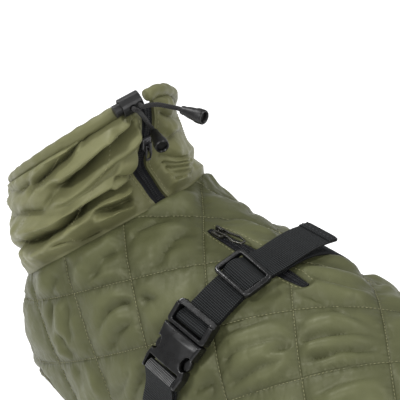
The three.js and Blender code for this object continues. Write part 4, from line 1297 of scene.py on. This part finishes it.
    def stitch(self, ground: Ground, paint: Paint) -> list[bpy.types.Object]:
        """Quilting stitches down the collar, and the rows beside the zip."""
        lines = []
        for run in COLLAR_QUILTING:
            turn, down = spline(run, 1.5).T
            lines.append(ground.line(down, np.radians(turn), 0.08, 14.0))
        down = np.arange(14.0, 75.0, 1.8)
        for side in (-1, 1):
            beside = self.zip_angle(down, side * (self.tape_half + 2.4))
            lines.append(ground.line(down, beside, 0.1))
        made = run_rows("collar_stitches", lines, 3.1, (2.4, 0.52, 0.42), paint["thread"])
        return [made]


# --------------------------------------------------------------------------- zips


@dataclass
class Zip:
    """A closed zip: its tape, two rows of teeth, its slider and its pull."""

    name: str
    start: float
    end: float
    left: Callable[[Array], Array]
    half: Callable[[Array], Array]
    metal: str
    body: str
    tooth: float = 1.35
    tooth_out: float = 1.05
    margin: float = 1.5

    def angle(self, station: Array, side: Array | float) -> Array:
        """Angles at a distance left of the zip's line."""
        return (self.left(station) + side) / FORM.half(station)

    def build(self, paint: Paint) -> list[bpy.types.Object]:
        """Makes the tape and the teeth, and dresses the slider and the pull."""
        station = np.arange(self.start, self.end + 0.01, 1.2)[:, None]
        part = np.linspace(-1, 1, 17)[None]
        side = self.half(station) * part
        angle = self.angle(station, side)
        chain = np.exp(-(side / 2.2) ** 2)
        outer = FORM.at(station, angle, -1.5 + 0.5 * chain - 0.25 * smooth(np.abs(part), 0.8, 1))
        inner = FORM.at(station, angle, -2.7)
        tape = cloth_wall(f"{self.name}_tape_woven", outer, inner,
                          np.ones((len(station) - 1, 16), bool), pairs(station, side),
                          paint["tape"])
        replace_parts(tape, f"{self.name}_tape")

        lines = []
        for way, shift in ((-1, 0.0), (1, self.tooth / 2)):
            run = np.arange(self.start + self.margin + shift, self.end - self.margin,
                            self.tooth / 2)
            lines.append(FORM.line(run, self.angle(run, way * self.tooth_out), -0.85))
        teeth = run_rows(f"{self.name}_teeth", lines, self.tooth, (0.95, 2.3, 0.9), paint["teeth"])
        run = np.arange(self.start + 2, self.end - 2, 1.5)
        lines = [FORM.line(run, self.angle(run, way * (self.half(run) - 0.9)), -1.45)
                 for way in (-1, 1)]
        sewn = run_rows(f"{self.name}_tape_stitches", lines, 2.7, (2.0, 0.42, 0.34),
                        paint["dark_thread"])
        slider, pull = (moulded(f"{self.name}_{part}", voxel, 3, paint[self.metal])
                        for part, voxel in (("slider", 0.22), ("pull", 0.13)))
        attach(pull, self.body)
        return [tape, teeth, sewn, slider]


# --------------------------------------------------------------------------- hem


@dataclass
class Hem:
    """Rolled binding round the whole lower edge, with the piping under it."""

    shell: Shell
    width: float = 6.8
    thick: float = 4.6
    piping: float = 3.0
    lift: float = -1.9
    step: float = 2.6

    def path(self) -> tuple[Array, Array]:
        """Stations and angles round the lower edge, from under the chest along the left."""
        shell, tail = self.shell, FORM.tail
        corner = shell.front_corner
        front = np.arange(math.pi, corner, -self.step / 84)
        side = np.concatenate([np.arange(shell.front_side, 500, self.step),
                               np.arange(500, tail, self.step * 0.45)])
        turn = float(shell.hem_angle(tail))
        rear = np.arange(turn, -turn, -self.step / 74)
        stations = [shell.front_edge(front), side, np.full(rear.shape, tail),
                    side[::-1], shell.front_edge(-front[::-1])[:-1]]
        low = shell.hem_angle(side)
        angles = [front, low, rear, -low[::-1], -front[::-1][:-1]]
        return np.concatenate(stations), np.concatenate(angles)

    def strip(self, beyond: float) -> tuple[Array, Array, Array]:
        """Line, across and out of a strip that lies a distance past the edge."""
        station, angle = self.path()
        line = FORM.at(station, angle, np.full(station.shape, self.lift))
        tangent = np.roll(line, -2, 0) - np.roll(line, 2, 0)
        for _ in range(6):
            tangent = (np.roll(tangent, 1, 0) + tangent + np.roll(tangent, -1, 0)) / 3
        tangent = unit(tangent)
        across = unit(np.cross(tangent, FORM.normal(station, angle)))
        out = unit(np.cross(across, tangent))
        moved = line + across * beyond
        for _ in range(8):
            moved = (np.roll(moved, 1, 0) + 2 * moved + np.roll(moved, -1, 0)) / 4
        return moved, across, out

    def build(self, paint: Paint) -> list[bpy.types.Object]:
        """Makes the binding, its stitches and the piping."""
        reach = self.width / 2 * math.cos(math.pi / 6)
        line, across, out = self.strip(GAP + reach)
        length, side = running(line)[:, None], np.arange(14)[None]
        swell = 1 + 0.06 * ripple(length / 11, side * 0.5, 71.0)
        swell = swell + 0.05 * np.sin(length * 2 * math.pi / 9 + side * 0.8)
        base = ring(reach + 0.15, self.thick / 2, 14)
        points, faces = sweep(line, across, out, base * swell[..., None], True)
        binding = make_object("rolled_binding", points, faces, paint["binding"],
                              pairs(length, side * 1.4), 80)
        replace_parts(binding, "hem_binding")
        top = line - across * (reach * 0.45) + out * (self.thick / 2 * 0.93)
        stitches = run_rows("hem_stitches", [(top, out)], 3.2, (2.5, 0.5, 0.4), paint["thread"])
        half = self.piping / 2 * math.cos(math.pi / 4)
        line, across, out = self.strip(2 * GAP + 2 * reach + half)
        sections = np.broadcast_to(ring(half + 0.2, 1.25, 10), (len(line), 10, 2))
        points, faces = sweep(line, across, out, sections, True)
        piping = make_object("reflective_piping", points, faces, paint["piping"],
                             pairs(running(line)[:, None], np.arange(10)[None] * 0.8), 80)
        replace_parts(piping, "hem_piping")
        return [binding, stitches, piping]


# --------------------------------------------------------------------------- strap and hardware


class GirthLine:
    """The line of the strap round the trunk, leaning towards the head on the left side."""

    def __init__(self) -> None:
        """Finds the line on the form."""
        angle = np.linspace(0, 2 * math.pi, 145)
        lean = np.where(np.sin(angle) > 0, 14.5, 3.0)
        wanted = -2 - lean * np.abs(np.sin(angle))
        low, high = np.full(angle.shape, 112.0), np.full(angle.shape, 320.0)
        for _ in range(30):
            middle = (low + high) / 2
            short = FORM.point(middle, angle)[:, 0] < wanted
            low, high = np.where(short, middle, low), np.where(short, high, middle)
        self.points = FORM.point(low, angle)
        self.normals = FORM.normal(low, angle)
        self.length = running(self.points)
        self.girth = float(self.length[-1])

    def at(self, along: float) -> tuple[Array, Array, Array]:
        """Point, out and across at a distance left of the spine."""
        along = along % self.girth
        i = int(np.clip(np.searchsorted(self.length, along) - 1, 0, len(self.length) - 2))
        t = (along - self.length[i]) / (self.length[i + 1] - self.length[i])
        out = unit(self.normals[i] * (1 - t) + self.normals[i + 1] * t)
        before = self.points[i - 1 if i > 0 else len(self.points) - 2]
        after = self.points[i + 2 if i + 2 < len(self.points) else 1]
        forward = (self.points[i + 1] - before) * (1 - t) + (after - self.points[i]) * t
        across = unit(np.cross(out, forward))
        return self.points[i] * (1 - t) + self.points[i + 1] * t, out, across

    def frame(self, along: float, lift: float) -> Matrix:
        """A rigid piece's frame there: down the strap, across it and out, in millimetres."""
        point, out, across = self.at(along)
        return rigid(unit(np.cross(across, out)), across, out, point + out * lift)


GIRTH = GirthLine()
SLIDE_FRAME = GIRTH.frame(22, 5.6)
BUCKLE_FRAME = GIRTH.frame(76, 3.1)


def moulded(node: str, voxel: float, soften: int, material: bpy.types.Material,
            shape: Callable[[Array], Array] | None = None,
            frame: Matrix | None = None) -> bpy.types.Object:
    """A hard piece made from its solid, with the soft edges of a moulding.

    Args:
        node: The solid's name.
        voxel: Size of its faces.
        soften: How many times it is smoothed.
        material: Its finish.
        shape: Moves its points in its own frame, in millimetres.
        frame: That frame.

    Returns:
        The piece, which stands for the solid.
    """
    source = bpy.data.objects[node]
    bm = bmesh.new()
    bm.from_mesh(source.data)
    bmesh.ops.remove_doubles(bm, verts=bm.verts, dist=1e-7)
    mesh = bpy.data.meshes.new(node + "_mesh")
    bm.to_mesh(mesh)
    bm.free()
    rough = put(node + "_rough", mesh)
    remesh = rough.modifiers.new("remesh", "REMESH")
    remesh.mode = "VOXEL"
    remesh.voxel_size = voxel * MM
    remesh.use_smooth_shade = True
    round_off = rough.modifiers.new("round", "SMOOTH")
    round_off.factor = 0.5
    round_off.iterations = soften
    result = settled(rough)
    if shape is not None and frame is not None:
        flat = np.zeros(len(result.vertices) * 3)
        result.vertices.foreach_get("co", flat)
        matrix = np.array(frame)
        turn, origin = matrix[:3, :3], matrix[:3, 3]
        local = (flat.reshape(-1, 3) / MM - origin) @ turn
        world = shape(local) @ turn.T + origin
        result.vertices.foreach_set("co", (world * MM).ravel())
        result.update()
    shade_smooth(result)
    result.materials.clear()
    result.materials.append(material)
    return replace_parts(put(f"{node}_moulded", result), node)


class Carrier(Enum):
    """What a place of the webbing is measured from."""

    BUCKLE = "buckle"
    SLIDE = "slide"
    COAT = "coat"


# Places of the webbing: distance down the strap and height, in millimetres.
STRAP_PLACES: tuple[tuple[Carrier, tuple[tuple[float, float], ...]], ...] = (
    (Carrier.BUCKLE, ((34, -5.6), (28, -2.2), (23.5, 0.9), (20.5, 1.3), (18.3, 2.3), (17.4, 4.4),
                      (18.3, 6.6), (20.5, 7.5), (23.2, 6.6), (26.5, 3.2), (31, -0.9), (36, -4.4))),
    (Carrier.COAT, ((117, 4.6), (126, 3.5))),
)
STRAP_BACK: tuple[tuple[Carrier, tuple[tuple[float, float], ...]], ...] = (
    (Carrier.COAT, ((-10, 3.5), (0, 3.5), (11, 3.5), (22, 3.5), (33, 3.5), (42, 3.5), (49, 3.5))),
    (Carrier.BUCKLE, ((-24, -2.4), (-19.6, -0.9), (-15.2, -0.1), (-13, 0.8), (-12.2, 2.9),
                      (-13, 4.9), (-14.9, 5.7), (-17, 4.9), (-20.2, 1.8), (-23.4, -0.2))),
    (Carrier.COAT, ((49, 5.3), (42, 5.3))),
    (Carrier.SLIDE, ((11.2, -1.1), (8.3, -0.7), (5.2, 1.4), (2.3, 2.8), (0, 3.0), (-2.3, 2.8),
                     (-5.2, 1.4), (-8.3, -0.7), (-11.2, -1.1))),
    (Carrier.COAT, ((0, 5.5), (-8, 6.0), (-18, 7.6), (-28, 9.8))),
)


@dataclass
class Strap:
    """The girth strap's webbing, with its free tail folded over and sewn."""

    width: float = 25.0
    thick: float = 1.4
    rib: float = 1.4
    tail: tuple[tuple[float, float, int], ...] = ((-34.7, 11.2, 1), (-35.3, 11.35, 2), (-42, 13, 2))
    clear_of_hardware: float = 140.0
    step: float = 12.0
    rib_depth: float = 0.12

    def spot(self, carrier: Carrier, along: float, up: float, layers: int = 1) -> Array:
        """Point and across of one place, and its thickness."""
        thick = [self.thick * layers]
        if carrier is Carrier.COAT:
            point, out, across = GIRTH.at(along)
            return np.concatenate([point + out * up, across, thick])
        frame = BUCKLE_FRAME if carrier is Carrier.BUCKLE else SLIDE_FRAME
        place = frame @ Vector((along, 0, up))
        return np.concatenate([tuple(place), tuple(frame.col[1])[:3], thick])

    def places(self) -> Array:
        """Every place of the webbing in order."""
        girth, near = GIRTH.girth, self.clear_of_hardware
        far = girth - 20
        count = round((far - near) / self.step)
        trip = []
        for i in range(count + 1):
            along = near + (far - near) * i / count
            off = float(smooth(min(along, girth - along), 232, 262))
            trip.append((along, 3.5 - 2.5 * off))
        runs = (*STRAP_PLACES, (Carrier.COAT, trip), *STRAP_BACK, (Carrier.COAT, self.tail))
        return np.array([self.spot(carrier, *place)
                         for carrier, places in runs for place in places])

    def build(self, paint: Paint) -> list[bpy.types.Object]:
        """Makes the ribbed webbing and the stitches of the tail."""
        line = spline(self.places(), self.rib / 3)
        origin, across, thick = line[:, :3], unit(line[:, 3:6]), line[:, 6]
        tangent = unit(np.gradient(origin, axis=0))
        out = unit(-np.cross(tangent, across))
        length = running(origin)
        half = self.width / 2
        columns = np.linspace(-1, 1, 13)
        edge = 1 - 0.35 * np.abs(columns) ** 10
        ribs = np.cos(length * 2 * math.pi / self.rib)[:, None]
        high = (thick - self.thick / 2)[:, None]
        upper = high * edge - self.rib_depth * ribs
        lower = -self.thick / 2 * edge + self.rib_depth * ribs
        wave = 1 + 0.006 * ribs
        rows = np.concatenate([
            np.stack(np.broadcast_arrays(half * columns * wave, lower), -1),
            np.stack(np.broadcast_arrays(half * columns[::-1] * wave, upper[:, ::-1]), -1)], 1)
        points, faces = sweep(origin, across, out, rows, False)
        flat_across = np.concatenate([half * columns, half * columns[::-1]])
        webbing = make_object("ribbed_webbing", points, faces, paint["webbing"],
                              pairs(length[:, None], flat_across[None]), 60)
        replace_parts(webbing, "girth_strap")
        ends = []
        for back in (1.6, 6.2):
            i = int(np.argmin(np.abs(length - (length[-1] - back))))
            span = np.linspace(-0.46, 0.46, 24)[:, None] * self.width
            top = origin[i] + out[i] * (high[i, 0] + 0.1) + across[i] * span
            ends.append((top, out[i]))
        sewn = run_rows("strap_stitches", ends, 2.6, (2.0, 0.55, 0.45), paint["dark_thread"])
        return [webbing, sewn]


@dataclass
class Hardware:
    """Slide and side-release buckle."""

    crown: float = 1.5
    voxel: float = 0.42

    def female(self, local: Array) -> Array:
        """Crowns the outer face of the socket half."""
        u, v, w = local.T
        rise = self.crown * (1 - np.clip(v / 16.5, -1, 1) ** 2) * smooth(w, 4.5, 8.8)
        rise = rise * smooth(u, -8.2, -3.0) * (1 - 0.6 * smooth(u, 10, 24))
        return np.stack([u, v, w + rise], -1)

    def male(self, local: Array) -> Array:
        """Slopes the outer bar of the plug half down to the strap."""
        u, v, w = local.T
        fall = 1.6 * (1 - smooth(u, -25.5, -20.5)) * smooth(w, 4.0, 7.0)
        return np.stack([u, v, w - fall], -1)

    def slide(self, local: Array) -> Array:
        """Rounds the slide over, higher at its middle."""
        u, v, w = local.T
        return np.stack([u, v, w + 0.6 * (1 - (v / 17) ** 2) * smooth(w, 1.5, 3.4)], -1)

    def build(self, paint: Paint) -> list[bpy.types.Object]:
        """Makes the three mouldings."""
        pieces = [moulded(node, self.voxel, soften, paint["plastic"], shape, frame)
                  for node, soften, shape, frame in (
                      ("strap_slider", 4, self.slide, SLIDE_FRAME),
                      ("buckle_male", 3, self.male, BUCKLE_FRAME),
                      ("buckle_female", 3, self.female, BUCKLE_FRAME))]
        return [piece for piece in pieces] + [self.bend_ribs(paint)]

    def bend_ribs(self, paint: Paint) -> bpy.types.Object:
        """The ribs where the lower webbing bends over the socket half's bar, light grey as a
        painted highlight on the black webbing.
        """
        frame = np.array(BUCKLE_FRAME)
        runs = []
        for v in np.arange(-11.6, 11.7, 1.02):
            bend = np.array([(17.6, v, 6.6), (18.6, v, 7.7), (20.4, v, 8.3), (22.2, v, 8.1)])
            line = bend @ frame[:3, :3].T + frame[:3, 3]
            runs.append((line, frame[:3, 2]))
        made = run_rows("bend_ribs", runs, 1.2, (1.7, 0.62, 0.6), paint["rib"])
        return made


# --------------------------------------------------------------------------- draw cord


@dataclass
class DrawCord:
    """Cord lock, the two free cord ends and their bells."""

    radius: float = 1.5
    strand: float = 1.5
    bell_length: float = 17.5
    neck: float = 2.6
    mouth: float = 4.7
    routes: dict[str, tuple] = field(default_factory=lambda: {
        "right": (((-102.8, -15.8, 78.5), (-98.7, -16.9, 79.1), (-94.9, -15.7, 81.1),
                   (-89.9, -13, 82.6), (-84.9, -10.3, 82.6)),
                  (-75.5, -6.1, 82.1), (0.99, 0.12, 0.06)),
        "left": (((-103.4, -20.4, 77.3), (-100.7, -21.3, 77.6), (-100.5, -19.3, 76.2),
                  (-103.7, -14.1, 70.4), (-106.7, -8.7, 63.8), (-108.3, -4.9, 58.2),
                  (-107.9, -2.9, 54.6)),
                 (-103.8, -3.3, 52.4), (0.9, -0.44, -0.05)),
    })

    def build(self, paint: Paint) -> list[bpy.types.Object]:
        """Makes the lock, the cords and the bells."""
        lock = moulded("cord_lock_body", 0.3, 4, paint["soft_plastic"])
        button = moulded("cord_lock_plunger", 0.28, 3, paint["soft_plastic"])
        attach(button, "lock_button")
        for side, (route, start, toward) in self.routes.items():
            axis = unit(np.array(toward, float))
            begin = np.array(start, float)
            ends = [begin - axis * (2 * self.radius + GAP), begin - axis * GAP]
            self.cord(side, np.array([*route, *ends]), begin, axis, paint)
        return [lock]

    def cord(self, side: str, route: Array, begin: Array, axis: Array,
             paint: Paint) -> None:
        """Makes one cord end with its bell, and lets both ride on the coat.

        Args:
            side: Its name.
            route: Points that the cord follows.
            begin: Where the bell starts.
            axis: Where the bell points.
            paint: The finishes.
        """
        line = spline(route, 0.5)
        tangent = unit(np.gradient(line, axis=0))
        across = [unit(np.cross(tangent[0], (0.3, 0.2, 0.9)))]
        for t in tangent[1:]:
            across.append(unit(across[-1] - t * np.dot(across[-1], t)))
        across = np.array(across)
        out = np.cross(across, tangent)
        length, turn = running(line), corners(14)
        phase = length[:, None] * 2 * math.pi / self.strand
        strand = 1 + 0.045 * np.maximum(np.sin(phase + 4 * turn), np.sin(phase - 4 * turn))
        sections = np.stack([np.cos(turn) * strand, np.sin(turn) * strand], -1) * self.radius * 0.98
        points, faces = sweep(line, across, out, sections, False)
        cord = make_object(f"braided_cord_{side}", points, faces, paint["cord"],
                           pairs(length[:, None], turn[None]), 80)
        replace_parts(cord, f"draw_cord_{side}")
        bell = self.bell(side, begin, axis, paint)
        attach(cord, "coat")
        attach(bell, "coat")

    def bell(self, side: str, begin: Array, axis: Array,
             paint: Paint) -> bpy.types.Object:
        """A bell-shaped cord end with a waist and a hollow mouth."""
        n, m, length = self.neck, self.mouth, self.bell_length
        profile = np.array([
            (0.0, 1.7), (0.0, n - 0.35), (0.25, n), (1.6, n + 0.25), (2.6, n + 0.15),
            (3.4, n + 0.35), (length * 0.35, n + 0.95), (length * 0.6, m - 0.65),
            (length * 0.7, m - 0.1), (length * 0.76, m + 0.02), (length - 1.5, m),
            (length - 0.5, m - 0.12), (length, m - 0.5), (length, m - 1.1),
            (length - 0.5, m - 1.5), (length - 2.2, m - 1.75), (length - 2.3, 0.6)])
        sides = 32
        turn = 2 * np.pi * np.arange(sides) / sides
        first = unit(np.cross(axis, (0.2, 0.1, 1)))
        second = np.cross(axis, first)
        spokes = np.cos(turn)[:, None] * first + np.sin(turn)[:, None] * second
        points = np.concatenate([begin + axis * a + r * spokes for a, r in profile])
        last = (len(profile) - 1) * sides
        faces = [[row + k, row + (k + 1) % sides, row + sides + (k + 1) % sides, row + sides + k]
                 for row in range(0, last, sides) for k in range(sides)]
        faces += [list(range(sides))[::-1], list(range(last, last + sides))]
        bell = make_object(f"bell_{side}", points, faces, paint["soft_plastic"], None, 40)
        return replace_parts(bell, f"cord_end_{side}")


# --------------------------------------------------------------------------- room


@dataclass(frozen=True)
class Room:
    """Floor, lights and camera."""

    azimuth: float = math.radians(45)
    elevation: float = math.radians(35)
    distance: float = 900.0
    scale: float = 1.63
    origin: tuple[float, float] = (276.0, 266.0)
    picture: float = 400.0
    sensor: float = 36.0
    floor: tuple[float, float] = (9000.0, -420.0)
    aim: tuple[float, float, float] = (0.0, 0.0, -0.06)
    lights: tuple[tuple[str, tuple[float, float, float], float, float], ...] = (
        ("key", (-0.35, -1.35, 1.35), 0.35, 16.0), ("side", (-1.3, -0.1, 1.25), 0.3, 13.0),
        ("fill", (1.3, -0.6, 1.0), 0.7, 11.0), ("top", (0.5, 0.7, 1.8), 0.7, 13.0))

    def axes(self) -> tuple[Vector, Vector, Vector]:
        """Right, up and back of the picture."""
        a, e = self.azimuth, self.elevation
        back = Vector((math.sin(a) * math.cos(e), -math.cos(a) * math.cos(e), math.sin(e)))
        right = Vector((math.cos(a), math.sin(a), 0))
        return right, back.cross(right), back

    def camera(self) -> bpy.types.Object:
        """A camera at the photograph's angle."""
        right, up, back = self.axes()
        middle = self.picture / 2
        aside = (self.origin[0] - middle) / self.scale
        above = -(self.origin[1] - middle) / self.scale
        data = bpy.data.cameras.new("camera")
        data.sensor_width = self.sensor
        data.lens = self.sensor * self.scale * self.distance / self.picture
        data.clip_start, data.clip_end = 0.05, 30.0
        made = put("camera", data)
        place = (back * self.distance - right * aside - up * above) * MM
        made.matrix_world = rigid(right, up, back, place)
        bpy.context.scene.camera = made
        return made

    def light(self, name: str, place: tuple[float, float, float], size: float,
              power: float) -> bpy.types.Object:
        """A soft light that points at the coat."""
        data = bpy.data.lights.new(name, "AREA")
        data.shape = "DISK"
        data.size, data.energy = size, power
        made = put(name, data)
        made.location = place
        aim = Vector(self.aim) - Vector(place)
        made.rotation_euler = aim.to_track_quat("-Z", "Y").to_euler()
        return made

    def build(self) -> None:
        """Makes the floor, the lights, the background and the camera."""
        n = Nodes("pale floor")
        grain = n.noise(n.place(), 40.0, 2.0)
        pale = n.shade((0.9, 0.9, 0.9), n.ramp(grain, 0, 1, 0.98, 1.0))
        n.feed(n.shader.inputs["Base Color"], pale)
        n.shader.inputs["Emission Color"].default_value = (1, 1, 1, 1)
        n.shader.inputs["Emission Strength"].default_value = 0.42
        far, low = self.floor
        square = [(x * far, y * far, low) for x, y in ((-1, -1), (1, -1), (1, 1), (-1, 1))]
        floor = make_object("floor", np.array(square), [range(4)], n.settle(0.9, specular=0.1))
        for light in self.lights:
            self.light(*light)
        world = bpy.data.worlds.new("studio")
        world.use_nodes = True
        sky = world.node_tree.nodes["Background"].inputs
        sky["Color"].default_value = (1, 1, 1, 1)
        sky["Strength"].default_value = 0.34
        bpy.context.scene.world = world
        bpy.context.scene.view_settings.view_transform = "Standard"
        self.camera()


# --------------------------------------------------------------------------- whole coat


@dataclass
class WinterCoat:
    """Every sub-assembly of the coat."""

    shell: Shell = field(default_factory=Shell)
    collar: Collar = field(default_factory=Collar)

    def zips(self) -> list[Zip]:
        """The zip in the leash slit and the one in the collar."""
        shell, collar = self.shell, self.collar
        back = Zip("back_zip", shell.slit_from + GAP, shell.slit_to - GAP,
                   lambda s: np.zeros(np.shape(s)), lambda s: shell.slit(s) - 2 * GAP,
                   "metal", "back_zip_pull")
        neck = Zip("collar_zip", 10.0, 76.0, lambda s: COLLAR_ZIP.read("left", s),
                   lambda s: np.full(np.shape(s), collar.tape_half), "grey_metal",
                   "collar_zip_pull")
        return [back, neck]

    def build(self, paint: Paint) -> None:
        """Builds every sub-assembly in turn and lets it ride on the coat."""
        for part in (self.shell, self.collar, *self.zips(), Hem(self.shell), Strap(), Hardware(),
                     DrawCord()):
            for piece in part.build(paint):
                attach(piece, "coat")
                log.info("%s: %s, %d faces", type(part).__name__, piece.name,
                         len(piece.data.polygons))


def main() -> None:
    """Loads the frame, dresses it and sets up the picture."""
    logging.basicConfig(level=logging.INFO, format="%(message)s")
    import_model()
    coat = WinterCoat()
    coat.build(Palette().make())
    Room().build()


if __name__ == "__main__":
    main()
